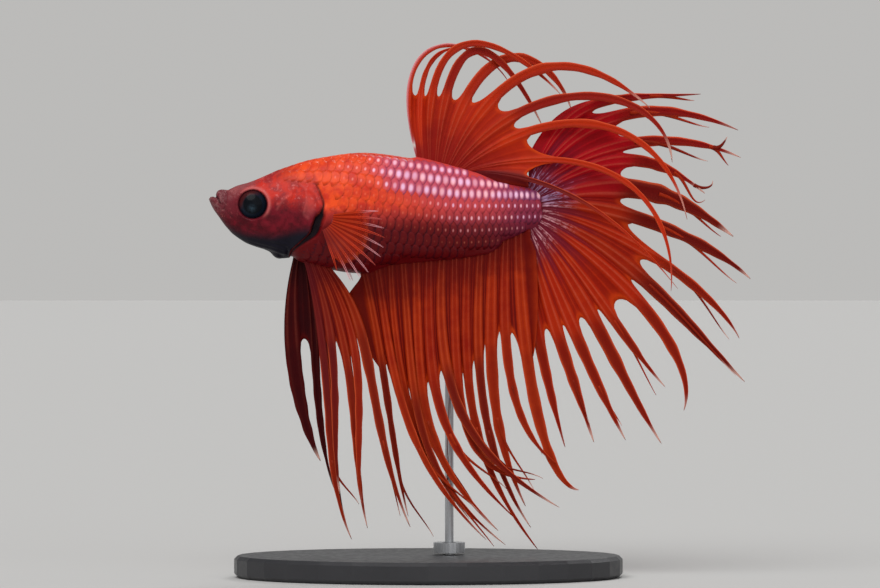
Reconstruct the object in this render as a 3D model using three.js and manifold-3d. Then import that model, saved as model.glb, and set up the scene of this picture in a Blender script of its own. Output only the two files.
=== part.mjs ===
// A male crowntail Siamese fighting fish (betta) as a still, life-size model on a display stand.
// Millimetres, +Z up. The fish looks along -X and its left side faces -Y.
// The origin is the centre of the stand's underside. Fish coordinates, used by every
// outline below, start at the snout's tip: x runs back to the tail, z up, y to its right.
import * as THREE from "three";
import { mergeVertices } from "three/addons/utils/BufferGeometryUtils.js";
import Module from "manifold-3d";

// ---------------------------------------------------------------- driving dimensions
const bodyLength = 45.2; // snout to the end of the tail stalk
const snout = new THREE.Vector3(-30.5, 0, 52.6); // the snout's tip, from the origin
const gap = 0.3; // between any two pieces that meet
const clear = 0.45; // from the body to the roots of the fins
const finThickness = 0.5;
const eye = { x: 6.2, y: 1.85, z: -0.9, radius: 1.98, depth: 1.25 }; // depth is half its thickness
const base = { length: 54, depth: 35, height: 3, bevel: 0.5 };
const rod = { x: 33.4, y: 1.6, radius: 0.6, depthInBody: 1.3, depthInBase: 2 };
const collar = { radius: 2.2, height: 1.4 };

// The body's side outline, and its half width and widest height along its length.
const back = through([
  [0, 0.2], [0.5, 0.5], [1.35, 1.05], [2.8, 1.5], [5.5, 2.15], [9.9, 4.0], [15, 5.6],
  [21.4, 6.4], [28.2, 5.6], [33.4, 4.35], [40.4, 2.4], [45.2, 1.6],
]);
const belly = through([
  [0, -0.35], [0.5, -1.6], [2.1, -4.0], [4.7, -6.3], [7.6, -7.2], [9.7, -8.3], [11.2, -8.1],
  [12.6, -8.8], [16.8, -10], [20.5, -10.5], [25.5, -9.0], [31, -8.5], [38, -7.6], [42.8, -5.5],
  [45.2, -4.7],
]);
const halfWidth = through([
  [0, 0.45], [0.9, 1.25], [2.8, 2.05], [6.2, 2.85], [10, 3.6], [14, 4.1], [19, 4.4],
  [25, 4.0], [31, 3.2], [38, 2.2], [43, 1.35], [45.2, 1.0],
]);
const widestHeight = through([[0, 0], [3, -0.9], [8, -2.2], [14, -2.4], [22, -1.9], [45.2, -1.5]]);

// Where the head ends: the rear edge of the gill covers, from the nape to the throat.
const gillEdge = [
  [13.2, 8], [13.6, 4.6], [15.5, 1.6], [16.2, -1.3], [14.9, -3.8], [12.9, -5.9], [11.6, -12],
];
const gillCover = [[11.2, 2.2], [17, 2.2], [17, -8], [11.5, -7.2], [9.7, -5.6], [9.1, -3], [9.7, 0.4]];
const mouthAndJaw = [
  [-1, 0.6], [0.5, 0.2], [1.0, -0.2], [1.9, -1.2], [3.4, -2.8], [5.3, -4.5], [5.6, -5.8],
  [5.4, -10], [-1, -10],
];
const throat = [[5.9, -5.9], [9.3, -6], [11.1, -7.5], [12, -11], [5.8, -11]];
const gillCoverInside = 2.4; // the covers are the part of the head further out than this
const stalkStart = 38.5;

// Fins. A ray is a cubic curve in fish coordinates: it leaves its root at the angle start
// and reaches its tip at the angle end, both in degrees above the way to the tail, and
// holds those two directions over the shares of its reach in pull. y is the tip's sideways
// place, web how far along the ray the membrane goes, and wide its width against the rest.
// A fin's widths are half the width of its rays at root, web and tip; webRows and freeRows
// are the steps along a ray with and without membrane; notch is how deep the web's edge dips.
const dorsal = {
  roots: [28.8, 37.2],
  widths: [0.2, 0.75, 0.28],
  webRows: 4,
  freeRows: 7,
  notch: 0.16,
  rays: [
    { start: 104, tip: [41.9, 15.9], end: -62, y: 2.6, web: 0.21, pull: [1.26, 0.5], wide: 0.55 },
    { start: 97, tip: [36.7, 20.9], end: -12, y: 3.4, web: 0.4, pull: [0.55, 0.45], wide: 0.6 },
    { start: 93, tip: [48.8, 14.5], end: -50, y: -0.2, web: 0.16, pull: [1.34, 0.22], wide: 0.85 },
    { start: 85, tip: [46.3, 10.2], end: -65, y: 1, web: 0.16, pull: [1.75, 0.45], wide: 1 },
    { start: 76, tip: [50.4, 12.6], end: -75, y: 3.4, web: 0.18, pull: [1.2, 0.34], wide: 1.2 },
    { start: 64, tip: [61.2, 12.5], end: -42, y: -1.9, web: 0.23, pull: [0.74, 0.34], wide: 1.2 },
    { start: 52, tip: [64.2, 4.9], end: -86, y: -3.6, web: 0.24, pull: [0.6, 0.37], wide: 1.1 },
    { start: 38, tip: [66.3, -3], end: -78, y: -2.8, web: 0.23, pull: [0.53, 0.47], wide: 1 },
    { start: 14, tip: [64, -12.9], end: -95, y: -4.2, web: 0.2, pull: [0.73, 0.29], wide: 0.7 },
    { start: -2, tip: [64.9, -12.6], end: -52, y: -5.2, web: 0.2, pull: [0.4, 0.33], wide: 0.5 },
  ],
};
const caudal = {
  root: { x: 40.2, z: -1.55, radius: 5.45, from: 38, to: -46 },
  widths: [0.16, 0.85, 0.3],
  webRows: 4,
  freeRows: 6,
  notch: 0.12,
  rays: [
    { start: 68, tip: [68.4, 14.5], end: 3, y: 0.3, web: 0.5, pull: [0.54, 0.5], wide: 0.8 },
    { start: 60, tip: [73.6, 9.5], end: -24, y: 0.9, web: 0.48, pull: [0.47, 0.38], wide: 1 },
    { start: 46, tip: [74, 5.7], end: -25, y: 1.4, web: 0.5, pull: [0.38, 0.33], wide: 0.9 },
    { start: 36, tip: [69, 0.7], end: -40, y: 1.2, web: 0.55, pull: [0.5, 0.4], wide: 1 },
    { start: 17, tip: [72.9, -5.3], end: -38, y: 0.5, web: 0.38, pull: [0.5, 0.35], wide: 1.6 },
    { start: 8, tip: [75.3, -11.2], end: -45, y: 0.8, web: 0.4, pull: [0.33, 0.22], wide: 1.1 },
    { start: -8, tip: [73.8, -19.5], end: -65, y: 1.3, web: 0.5, pull: [0.33, 0.22], wide: 0.8 },
    { start: -17, tip: [74.5, -25.5], end: -45, y: 0.7, web: 0.48, pull: [0.33, 0.33], wide: 1.1 },
    { start: -28, tip: [66, -29.5], end: -108, y: 0, web: 0.48, pull: [0.34, 0.25], wide: 1 },
    { start: -42, tip: [63.4, -26.2], end: -48, y: 0.5, web: 0.6, pull: [0.33, 0.33], wide: 0.8 },
    { start: -50, tip: [62.9, -34.1], end: -58, y: 0.8, web: 0.46, pull: [0.33, 0.33], wide: 1.1 },
    { start: -66, tip: [57.9, -33.6], end: -62, y: 0.4, web: 0.48, pull: [0.35, 0.3], wide: 1 },
    { start: -76, tip: [53.5, -33.9], end: -72, y: 0.1, web: 0.5, pull: [0.33, 0.33], wide: 1 },
    { start: -86, tip: [49.5, -34.6], end: -74, y: 0.3, web: 0.5, pull: [0.33, 0.33], wide: 0.9 },
  ],
};
const anal = {
  roots: [21.7, 43],
  widths: [0.5, 0.55, 0.25],
  webRows: 4,
  freeRows: 7,
  notch: 0.1,
  rays: [
    { start: -77, tip: [27.7, -44.2], end: -76, y: -0.5, web: 0.34, pull: [0.4, 0.3], wide: 0.75 },
    { start: -82, tip: [38.5, -47.3], end: -44, y: -2.4, web: 0.4, pull: [0.4, 0.4], wide: 0.8 },
    { start: -88, tip: [36.2, -44.6], end: -52, y: 0.5, web: 0.4, pull: [0.5, 0.3], wide: 0.7 },
    { start: -86, tip: [41.2, -48.1], end: -38, y: -1.4, web: 0.38, pull: [0.5, 0.4], wide: 0.8 },
    { start: -89, tip: [40.2, -46.2], end: -44, y: 0, web: 0.4, pull: [0.5, 0.4], wide: 1 },
    { start: -91, tip: [42.3, -44.2], end: -44, y: -1.6, web: 0.4, pull: [0.5, 0.4], wide: 1 },
    { start: -93, tip: [48.6, -42.8], end: -30, y: -3.2, web: 0.34, pull: [0.5, 0.4], wide: 1 },
    { start: -90, tip: [45.3, -39], end: -2, y: -1.8, web: 0.36, pull: [0.6, 0.34], wide: 0.9 },
    { start: -92, tip: [45.7, -48.8], end: -52, y: 0, web: 0.38, pull: [0.4, 0.4], wide: 0.9 },
    { start: -93, tip: [44.7, -45.7], end: -56, y: -0.8, web: 0.36, pull: [0.4, 0.34], wide: 0.9 },
    { start: -92, tip: [44, -42.8], end: -64, y: 0.2, web: 0.34, pull: [0.4, 0.34], wide: 1.2 },
    { start: -92, tip: [48.4, -37], end: -36, y: -1.2, web: 0.34, pull: [0.4, 0.3], wide: 1 },
    { start: -89, tip: [51.4, -40.5], end: -5, y: -0.5, web: 0.32, pull: [0.5, 0.13], wide: 1.2 },
  ],
};
const ventral = {
  out: 1.1,
  widths: [0.25, 0.6, 0.25],
  webRows: 3,
  freeRows: 8,
  notch: 0.14,
  near: [
    { start: -75, tip: [19.9, -47.2], end: -66, y: -3.4, web: 0.28, pull: [0.45, 0.3], wide: 0.8 },
    { start: -70, tip: [18.3, -40.9], end: -80, y: -4.2, web: 0.3, pull: [0.42, 0.3], wide: 0.8 },
    { start: -66, tip: [22.1, -45.7], end: -76, y: -3.2, web: 0.36, pull: [0.4, 0.3], wide: 0.8 },
    { start: -60, tip: [21.4, -42.7], end: -80, y: -4.4, web: 0.36, pull: [0.42, 0.3], wide: 0.8 },
    { start: -52, tip: [28, -45.5], end: -66, y: -3.6, web: 0.3, pull: [0.27, 0.4], wide: 1 },
  ],
  nearRoots: [13.7, 17.4],
  far: [
    { start: -101, tip: [15.4, -36.6], end: -62, y: 3.2, web: 0.43, pull: [0.3, 0.26], wide: 1.8 },
    { start: -80, tip: [17.3, -40.5], end: -72, y: 3.9, web: 0.38, pull: [0.33, 0.33], wide: 1 },
    { start: -74, tip: [19, -45.3], end: -72, y: 3.3, web: 0.32, pull: [0.4, 0.3], wide: 1 },
  ],
  farRoots: [12, 15],
};
const pectoral = {
  count: 11,
  root: { x: 15.2, z: -2.5, radius: 1.5, out: 4.8 },
  angles: [4, -70],
  lengths: [[0, 7], [0.35, 8.5], [0.6, 9.1], [0.93, 8.5], [1, 6.6]],
  outwards: 22,
  bend: 6,
  web: 0.75,
  widths: [0.05, 0.22, 0.25],
  webRows: 2,
  freeRows: 1,
  notch: 0.06,
};

// ---------------------------------------------------------------- curves and sheets
// A smooth height over x through the given points, with no overshoot between them.
function through(points) {
  const last = points.length - 1;
  const rise = points.slice(1).map(([x, z], i) => (z - points[i][1]) / (x - points[i][0]));
  const slope = points.map((_, i) => {
    if (i === 0) return rise[0];
    if (i === last) return rise[last - 1];
    return rise[i - 1] * rise[i] <= 0 ? 0 : (2 * rise[i - 1] * rise[i]) / (rise[i - 1] + rise[i]);
  });
  return (x) => {
    const i = Math.max(0, Math.min(last - 1, points.findIndex((p) => p[0] > x) - 1));
    const k = x >= points[last][0] ? last - 1 : i;
    const width = points[k + 1][0] - points[k][0];
    const t = THREE.MathUtils.clamp((x - points[k][0]) / width, 0, 1);
    return (
      points[k][1] * (2 * t ** 3 - 3 * t * t + 1) +
      points[k + 1][1] * (3 * t * t - 2 * t ** 3) +
      slope[k] * width * (t ** 3 - 2 * t * t + t) +
      slope[k + 1] * width * (t ** 3 - t * t)
    );
  };
}

const inPlane = (degrees) => {
  const a = THREE.MathUtils.degToRad(degrees);
  return new THREE.Vector3(Math.cos(a), 0, Math.sin(a));
};

// The centreline of a ray from its root, leaning sideways by lean of the tip's way out.
function rayCurve(root, ray, lean = 0.25) {
  const tip = new THREE.Vector3(ray.tip[0], ray.y, ray.tip[1]);
  const reach = Math.hypot(tip.x - root.x, tip.z - root.z);
  const leave = root.clone().addScaledVector(inPlane(ray.start), ray.pull[0] * reach);
  leave.y += lean * (ray.y - root.y);
  const arrive = tip.clone().addScaledVector(inPlane(ray.end), -ray.pull[1] * reach);
  return new THREE.CubicBezierCurve3(root, leave, arrive, tip);
}

// The shares of a ray's curve at each row of its ribbon: closer together along the web.
function rowShares(web, webRows, freeRows) {
  const shares = [];
  for (let row = 0; row <= webRows; row++) shares.push((web * row) / webRows);
  for (let row = 1; row <= freeRows; row++) shares.push(web + ((1 - web) * row) / freeRows);
  return shares;
}

// A fin as one thin solid: a ribbon along every ray, and membranes with rounded notches
// between neighbouring ribbons. The rays follow one another clockwise, seen from the left.
function finSolid(rays, { widths, webRows, freeRows, notch }) {
  const places = [];
  const faces = [];
  const quad = (a, b, c, d) => faces.push([a, b, c], [a, c, d]);
  const ribbons = rays.map(({ curve, web, wide }) => {
    const halfAt = through([[0, widths[0]], [web, widths[1]], [1, widths[2]]]);
    const rows = rowShares(web, webRows, freeRows).map((share) => {
      const centre = curve.getPoint(share);
      const along = curve.getTangent(share);
      const across = new THREE.Vector3(along.z, 0, -along.x).normalize();
      return [-1, 1].map((side) => {
        places.push(centre.clone().addScaledVector(across, side * halfAt(share) * wide));
        return places.length - 1;
      });
    });
    for (let row = 0; row < webRows + freeRows; row++) {
      quad(rows[row][0], rows[row][1], rows[row + 1][1], rows[row + 1][0]);
    }
    return rows;
  });
  for (let i = 1; i < rays.length; i++) {
    const middle = [];
    for (let row = 0; row <= webRows; row++) {
      const share = (row / webRows) * (1 - (notch * row) / webRows);
      const [a, b] = [rays[i - 1], rays[i]].map(({ curve, web }) => curve.getPoint(web * share));
      places.push(a.add(b).multiplyScalar(0.5));
      middle.push(places.length - 1);
    }
    const [before, after] = [ribbons[i - 1], ribbons[i]];
    for (let row = 0; row < webRows; row++) {
      quad(before[row][1], middle[row], middle[row + 1], before[row + 1][1]);
      quad(middle[row], after[row][0], after[row + 1][0], middle[row + 1]);
    }
  }
  return thickened(places, faces);
}

const edgesOf = ([a, b, c]) => [[a, b], [b, c], [c, a]];

// Gives an open surface its thickness: a front, a back and a wall along every free edge.
function thickened(places, faces) {
  const normals = places.map(() => new THREE.Vector3());
  for (const face of faces) {
    const [a, b, c] = face.map((i) => places[i]);
    const normal = b.clone().sub(a).cross(c.clone().sub(a));
    for (const i of face) normals[i].add(normal);
  }
  const count = places.length;
  const positions = new Float32Array(count * 6);
  places.forEach((place, i) => {
    const step = normals[i].normalize().multiplyScalar(finThickness / 2);
    place.clone().add(step).toArray(positions, i * 3);
    place.clone().sub(step).toArray(positions, (count + i) * 3);
  });
  const edges = new Set(faces.flatMap(edgesOf).map(([p, q]) => `${p}_${q}`));
  const index = [];
  for (const face of faces) {
    const [a, b, c] = face;
    index.push(a, b, c, count + a, count + c, count + b);
    for (const [p, q] of edgesOf(face)) {
      if (!edges.has(`${q}_${p}`)) index.push(p, count + p, q, q, count + p, count + q);
    }
  }
  const geometry = new THREE.BufferGeometry();
  geometry.setAttribute("position", new THREE.BufferAttribute(positions, 3));
  geometry.setIndex(index);
  return toSolid(geometry);
}

// ---------------------------------------------------------------- solids
const wasm = await Module();
wasm.setup();

function toSolid(geometry) {
  const bare = geometry.clone();
  bare.deleteAttribute("normal");
  bare.deleteAttribute("uv");
  const merged = mergeVertices(bare, 1e-4);
  return new wasm.Manifold(
    new wasm.Mesh({
      numProp: 3,
      vertProperties: new Float32Array(merged.attributes.position.array),
      triVerts: new Uint32Array(merged.index.array),
    }),
  );
}

function toGeometry(solid) {
  const mesh = solid.getMesh();
  const geometry = new THREE.BufferGeometry();
  geometry.setAttribute("position", new THREE.BufferAttribute(mesh.vertProperties, 3));
  geometry.setIndex(new THREE.BufferAttribute(mesh.triVerts, 1));
  return geometry;
}

// An outline of [x, z] points as a slab from y = from to y = to.
function slab(outline, from, to) {
  const shape = new THREE.Shape(outline.map(([x, z]) => new THREE.Vector2(x, z)));
  const geometry = new THREE.ExtrudeGeometry(shape, { depth: to - from, bevelEnabled: false });
  geometry.rotateX(Math.PI / 2);
  geometry.translate(0, to, 0);
  return toSolid(geometry);
}

// A smooth line or ring through an outline's points.
function rounded(outline, steps, closed = true) {
  const points = outline.map(([x, z]) => new THREE.Vector3(x, 0, z));
  const curve = new THREE.CatmullRomCurve3(points, closed, "centripetal");
  return curve.getPoints(steps).slice(0, closed ? -1 : undefined).map((p) => [p.x, p.z]);
}

// An outline pushed out from its middle.
function grown(outline, by) {
  const points = outline.map(([x, z]) => new THREE.Vector2(x, z));
  const centre = new THREE.Vector2();
  for (const point of points) centre.addScaledVector(point, 1 / points.length);
  return points.map((point) => {
    const out = point.clone().sub(centre);
    return out.setLength(out.length() + by).add(centre).toArray();
  });
}

// The whole body from snout to tail stalk. Each section is an oval that is widest at its
// own height, and squareness below 1 makes it a little fuller than an ellipse.
function bodySolid() {
  const sides = 20;
  const squareness = 0.94;
  const stations = [0, 0.35, 0.9, 1.6, 2.5, 3.6, 4.9, 6.4, 8, 9.8, 11.6, 13.6, 15.6, 18, 20.5,
    23, 25.5, 28.2, 31, 33.6, 36.2, 38.6, 40.6, 42.4, 44, bodyLength];
  const positions = [];
  const index = [];
  for (const x of stations) {
    const middle = widestHeight(x);
    for (let k = 0; k < sides; k++) {
      const angle = (2 * Math.PI * k) / sides;
      const rise = Math.sin(angle);
      const edge = rise > 0 ? back(x) : belly(x);
      const z = middle + Math.abs(rise) ** squareness * (edge - middle);
      positions.push(x, -halfWidth(x) * Math.cos(angle), z);
    }
  }
  for (let i = 0; i < stations.length - 1; i++) {
    for (let k = 0; k < sides; k++) {
      const a = i * sides + k;
      const b = i * sides + ((k + 1) % sides);
      index.push(a, a + sides, b, b, a + sides, b + sides);
    }
  }
  const last = (stations.length - 1) * sides;
  for (let k = 1; k < sides - 1; k++) index.push(0, k, k + 1, last, last + k + 1, last + k);
  const geometry = new THREE.BufferGeometry();
  geometry.setAttribute("position", new THREE.BufferAttribute(new Float32Array(positions), 3));
  geometry.setIndex(index);
  return toSolid(geometry);
}

// An eye is a ball flattened sideways.
function eyeball(side, swell = 0) {
  const geometry = new THREE.SphereGeometry(1, 16, 8);
  geometry.rotateX(Math.PI / 2);
  geometry.scale(eye.radius + swell, eye.depth + swell, eye.radius + swell);
  geometry.translate(eye.x, side * eye.y, eye.z);
  return toSolid(geometry);
}

function upright(radius, from, to, x, y, sides = 20) {
  const geometry = new THREE.CylinderGeometry(radius, radius, to - from, sides);
  geometry.rotateX(Math.PI / 2);
  geometry.translate(x, y, (from + to) / 2);
  return toSolid(geometry);
}

// The tail stalk ends in an arc, parallel to the one the tail's rays leave from.
function stalkEnd() {
  const { x, z, radius } = caudal.root;
  const turn = Math.PI / 3;
  const arc = new THREE.Path().absarc(x, z, radius - clear, turn, -turn, true);
  const points = arc.getPoints(8).map((p) => [p.x, p.y]);
  return [[points[0][0], reach], ...points, [points.at(-1)[0], -reach]];
}

// ---------------------------------------------------------------- the fish
const reach = 30; // further than the body goes up, down or sideways
const whole = bodySolid();

// The body in pieces, each a gap away from its neighbours.
function bodyParts() {
  const across = (outline) => slab(outline, -reach, reach);
  const edge = rounded(gillEdge, 16, false);
  const behind = edge.map(([x, z]) => [x + gap, z]).reverse();
  const top = edge[0][1];
  const bottom = edge.at(-1)[1];
  const front = whole.intersect(across([[-reach, bottom], [-reach, top], ...edge]));
  const trunkOutline = [...behind, [stalkStart, top], [stalkStart, bottom]];
  const foreStalk = stalkStart + gap;
  const stalkOutline = [[foreStalk, reach], ...stalkEnd(), [foreStalk, -reach]];
  const cover = rounded(gillCover, 24);
  const roomForCovers = slab(grown(cover, gap), -reach, gap - gillCoverInside).add(
    slab(grown(cover, gap), gillCoverInside - gap, reach),
  );
  const roomForJaw = across(grown(mouthAndJaw, gap));
  const roomForThroat = across(grown(throat, gap));
  const sockets = eyeball(-1, gap).add(eyeball(1, gap));
  return {
    head: front
      .subtract(roomForJaw)
      .subtract(roomForThroat)
      .subtract(roomForCovers)
      .subtract(sockets),
    lower_jaw: front.intersect(across(mouthAndJaw)).subtract(roomForThroat),
    throat: front.intersect(across(throat)).subtract(roomForCovers),
    gill_cover_left: front.intersect(slab(cover, -reach, -gillCoverInside)),
    gill_cover_right: front.intersect(slab(cover, gillCoverInside, reach)),
    trunk: whole.intersect(across(trunkOutline)).subtract(rodSolid(gap)),
    tail_stalk: whole.intersect(across(stalkOutline)),
    eye_left: eyeball(-1),
    eye_right: eyeball(1),
  };
}

function dorsalFin() {
  const rays = dorsal.rays.map((ray, i) => {
    const x = THREE.MathUtils.lerp(...dorsal.roots, i / (dorsal.rays.length - 1));
    return { ...ray, curve: rayCurve(new THREE.Vector3(x, 0, back(x) + clear), ray) };
  });
  return finSolid(rays, dorsal);
}

function caudalFin() {
  const { x, z, radius, from, to } = caudal.root;
  const rays = caudal.rays.map((ray, i) => {
    const way = inPlane(THREE.MathUtils.lerp(from, to, i / (caudal.rays.length - 1)));
    const root = new THREE.Vector3(x, 0, z).addScaledVector(way, radius);
    return { ...ray, curve: rayCurve(root, ray) };
  });
  return finSolid(rays, caudal);
}

function analFin() {
  const rays = anal.rays.map((ray, i) => {
    const x = THREE.MathUtils.lerp(...anal.roots, i / (anal.rays.length - 1));
    return { ...ray, curve: rayCurve(new THREE.Vector3(x, 0, belly(x) - clear), ray) };
  });
  return finSolid(rays.reverse(), anal);
}

function ventralFin(named, roots, side) {
  const rays = named.map((ray, i) => {
    const x = THREE.MathUtils.lerp(...roots, i / (named.length - 1));
    const root = new THREE.Vector3(x, side * ventral.out, belly(x) - clear);
    return { ...ray, curve: rayCurve(root, ray) };
  });
  return finSolid(rays.reverse(), ventral);
}

// A pectoral fin is a fan whose rays leave a small arc behind the gill cover.
function pectoralFin(side) {
  const { root, angles, outwards, bend, count, web } = pectoral;
  const lengthAt = through(pectoral.lengths);
  const lean = Math.tan(THREE.MathUtils.degToRad(outwards));
  const rays = [];
  for (let i = 0; i < count; i++) {
    const share = i / (count - 1);
    const angle = THREE.MathUtils.lerp(...angles, share);
    const long = lengthAt(share);
    const start = new THREE.Vector3(root.x, side * root.out, root.z);
    start.addScaledVector(inPlane(angle), root.radius);
    const tip = start.clone().addScaledVector(inPlane(angle), long);
    const ray = {
      start: angle, end: angle - bend, tip: [tip.x, tip.z], y: side * (root.out + long * lean),
      pull: [0.33, 0.33],
    };
    rays.push({ curve: rayCurve(start, ray), web, wide: 1 });
  }
  return finSolid(rays, pectoral);
}

// ---------------------------------------------------------------- the stand
const floorHeight = -snout.z; // in fish coordinates

function rodSolid(swell = 0) {
  const radius = rod.radius + swell;
  const foot = floorHeight + base.height - rod.depthInBase;
  const rise = Math.sqrt(1 - (rod.y / halfWidth(rod.x)) ** 2);
  const skin = widestHeight(rod.x) - rise * (widestHeight(rod.x) - belly(rod.x));
  return upright(radius, foot - swell, skin + rod.depthInBody + swell, rod.x, rod.y);
}

function oval(length, depth, from, to) {
  const shape = new THREE.Shape().absellipse(0, 0, length / 2, depth / 2, 0, Math.PI * 2);
  const { bevel } = base;
  const geometry = new THREE.ExtrudeGeometry(shape, {
    depth: to - from - 2 * bevel, bevelThickness: bevel, bevelSize: bevel, bevelOffset: -bevel,
    bevelSegments: 1, curveSegments: 16,
  });
  geometry.translate(-snout.x, 0, from + bevel);
  return toSolid(geometry);
}

function standParts() {
  const top = floorHeight + base.height;
  const ring = upright(collar.radius, top + gap, top + gap + collar.height, rod.x, rod.y, 28);
  return {
    stand_base: oval(base.length, base.depth, floorHeight, top).subtract(rodSolid(gap)),
    stand_collar: ring.subtract(rodSolid(gap)),
    stand_rod: rodSolid(),
  };
}

// ---------------------------------------------------------------- finishes and assembly
const finishes = {
  scaled_skin: { color: 0xc4382a, roughness: 0.38 },
  head_skin: { color: 0x7c2a30, roughness: 0.42 },
  throat_skin: { color: 0x1d1218, roughness: 0.45 },
  eye: { color: 0x0a1016, roughness: 0.08 },
  fin: { color: 0xc8321a, roughness: 0.4 },
  clear_fin: { color: 0xc44a2c, roughness: 0.4 },
  dark_fin: { color: 0x5a1018, roughness: 0.45 },
  base_metal: { color: 0x2a2b2d, roughness: 0.5 },
  rod_metal: { color: 0x8a8d90, roughness: 0.3, metalness: 1 },
};
const finishOf = {
  trunk: "scaled_skin",
  tail_stalk: "scaled_skin",
  head: "head_skin",
  lower_jaw: "head_skin",
  gill_cover_left: "head_skin",
  gill_cover_right: "head_skin",
  throat: "throat_skin",
  eye_left: "eye",
  eye_right: "eye",
  dorsal_fin: "fin",
  anal_fin: "fin",
  caudal_fin: "fin",
  pectoral_fin_left: "clear_fin",
  pectoral_fin_right: "clear_fin",
  ventral_fin_left: "fin",
  ventral_fin_right: "dark_fin",
  stand_base: "base_metal",
  stand_collar: "rod_metal",
  stand_rod: "rod_metal",
};
const fins = {
  dorsal_fin: dorsalFin(),
  anal_fin: analFin(),
  caudal_fin: caudalFin(),
  pectoral_fin_left: pectoralFin(-1),
  pectoral_fin_right: pectoralFin(1),
  ventral_fin_left: ventralFin(ventral.near, ventral.nearRoots, -1),
  ventral_fin_right: ventralFin(ventral.far, ventral.farRoots, 1),
};

const fish = new THREE.Group();
fish.position.copy(snout);
for (const [name, solid] of Object.entries({ ...bodyParts(), ...fins, ...standParts() })) {
  const material = new THREE.MeshStandardMaterial(finishes[finishOf[name]]);
  const mesh = new THREE.Mesh(toGeometry(solid), material);
  mesh.name = name;
  fish.add(mesh);
}
const group = new THREE.Group();
group.add(fish);

export default group;
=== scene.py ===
"""A male crowntail Siamese fighting fish as a still model on a display stand.

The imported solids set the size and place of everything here. Lengths are millimetres in
fish coordinates until a mesh is made: x runs back from the snout's tip, z up, and y from
the fish's left to its right.
"""

import math
from types import SimpleNamespace

import bpy
import numpy as np
from bpy.props import FloatProperty, FloatVectorProperty, IntProperty, PointerProperty
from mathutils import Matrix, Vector


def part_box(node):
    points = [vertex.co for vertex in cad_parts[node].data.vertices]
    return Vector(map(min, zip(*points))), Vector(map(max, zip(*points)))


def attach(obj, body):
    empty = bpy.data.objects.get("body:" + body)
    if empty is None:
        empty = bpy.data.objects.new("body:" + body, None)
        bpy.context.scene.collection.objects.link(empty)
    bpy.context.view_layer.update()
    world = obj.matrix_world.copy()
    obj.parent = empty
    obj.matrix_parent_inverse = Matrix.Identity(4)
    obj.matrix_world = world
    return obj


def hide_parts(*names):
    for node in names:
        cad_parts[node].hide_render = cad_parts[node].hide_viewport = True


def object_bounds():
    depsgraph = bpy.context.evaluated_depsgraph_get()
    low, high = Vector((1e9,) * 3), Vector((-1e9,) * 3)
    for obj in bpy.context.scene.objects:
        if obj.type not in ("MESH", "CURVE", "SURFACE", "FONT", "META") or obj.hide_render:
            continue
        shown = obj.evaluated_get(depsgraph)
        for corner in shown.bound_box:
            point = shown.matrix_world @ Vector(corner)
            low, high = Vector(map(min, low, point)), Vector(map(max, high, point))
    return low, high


bl_info = {
    "name": "Crowntail fighting fish",
    "version": (1, 0, 0),
    "blender": (4, 5, 0),
    "location": "3D View > Sidebar > Fish",
    "description": "Dresses the solids of a crowntail fighting fish on a display stand",
    "category": "Object",
}

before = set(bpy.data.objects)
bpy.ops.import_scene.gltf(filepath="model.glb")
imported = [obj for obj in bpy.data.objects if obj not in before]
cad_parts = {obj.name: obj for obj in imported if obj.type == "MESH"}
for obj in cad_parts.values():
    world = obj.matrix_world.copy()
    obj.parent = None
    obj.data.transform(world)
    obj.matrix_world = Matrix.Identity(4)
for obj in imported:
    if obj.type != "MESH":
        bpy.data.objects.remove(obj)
CAD_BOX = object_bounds()
MM = 0.001

# ------------------------------------------------------------------ the body's sizes
EYE = {"x": 6.2, "z": -0.9, "radius": 1.98, "edge": 2.1, "front": 3.06, "behind": 1.0}
EYE_LOW, EYE_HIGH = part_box("eye_left")
EYE_MIDDLE = (np.array(EYE_LOW) + np.array(EYE_HIGH)) / 2 / MM
SNOUT = np.array([EYE_MIDDLE[0] - EYE["x"], 0.0, EYE_MIDDLE[2] - EYE["z"]])


def through(points):
    """A smooth height over x through the given points, with no overshoot between them."""
    xs, zs = np.array(points, float).T
    rise = np.diff(zs) / np.diff(xs)
    slope = np.concatenate([rise[:1], np.zeros(len(xs) - 2), rise[-1:]])
    for i in range(1, len(xs) - 1):
        before, after = rise[i - 1], rise[i]
        if before * after > 0:
            slope[i] = 2 * before * after / (before + after)

    def height(x):
        x = np.clip(np.asarray(x, float), xs[0], xs[-1])
        k = np.clip(np.searchsorted(xs, x, side="right") - 1, 0, len(xs) - 2)
        width = xs[k + 1] - xs[k]
        t = (x - xs[k]) / width
        return (
            zs[k] * (2 * t**3 - 3 * t**2 + 1)
            + zs[k + 1] * (3 * t**2 - 2 * t**3)
            + slope[k] * width * (t**3 - 2 * t**2 + t)
            + slope[k + 1] * width * (t**3 - t**2)
        )

    return height


back = through(
    [(0, 0.1), (0.3, 0.2), (0.75, 0.24), (0.95, 0.4), (1.1, 0.8), (1.35, 1.06)]
    + [(1.75, 1.22), (2.15, 1.2), (2.6, 1.16), (3.1, 1.38), (3.9, 1.75), (5.5, 2.2)]
    + [(9.9, 4.0), (15, 5.6), (21.4, 6.4), (28.2, 5.6), (33.4, 4.35), (40.4, 2.4)]
    + [(45.2, 1.6), (46.4, 1.2)]
)
belly = through(
    [(0, -0.35), (0.14, -0.75), (0.68, -1.6), (1.36, -2.55), (2.1, -3.6), (2.6, -4.2)]
    + [(3.3, -4.95), (5.3, -6.25), (6.9, -6.9), (7.6, -7.15), (8.4, -7.5), (9.7, -8.3)]
    + [(10.4, -8.25), (11.2, -8.05), (12.6, -8.8), (16.8, -10), (20.5, -10.5), (25.5, -9.0)]
    + [(31, -8.5), (38, -7.6), (42.8, -5.5), (45.2, -4.7), (46.4, -4.2)]
)
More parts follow.
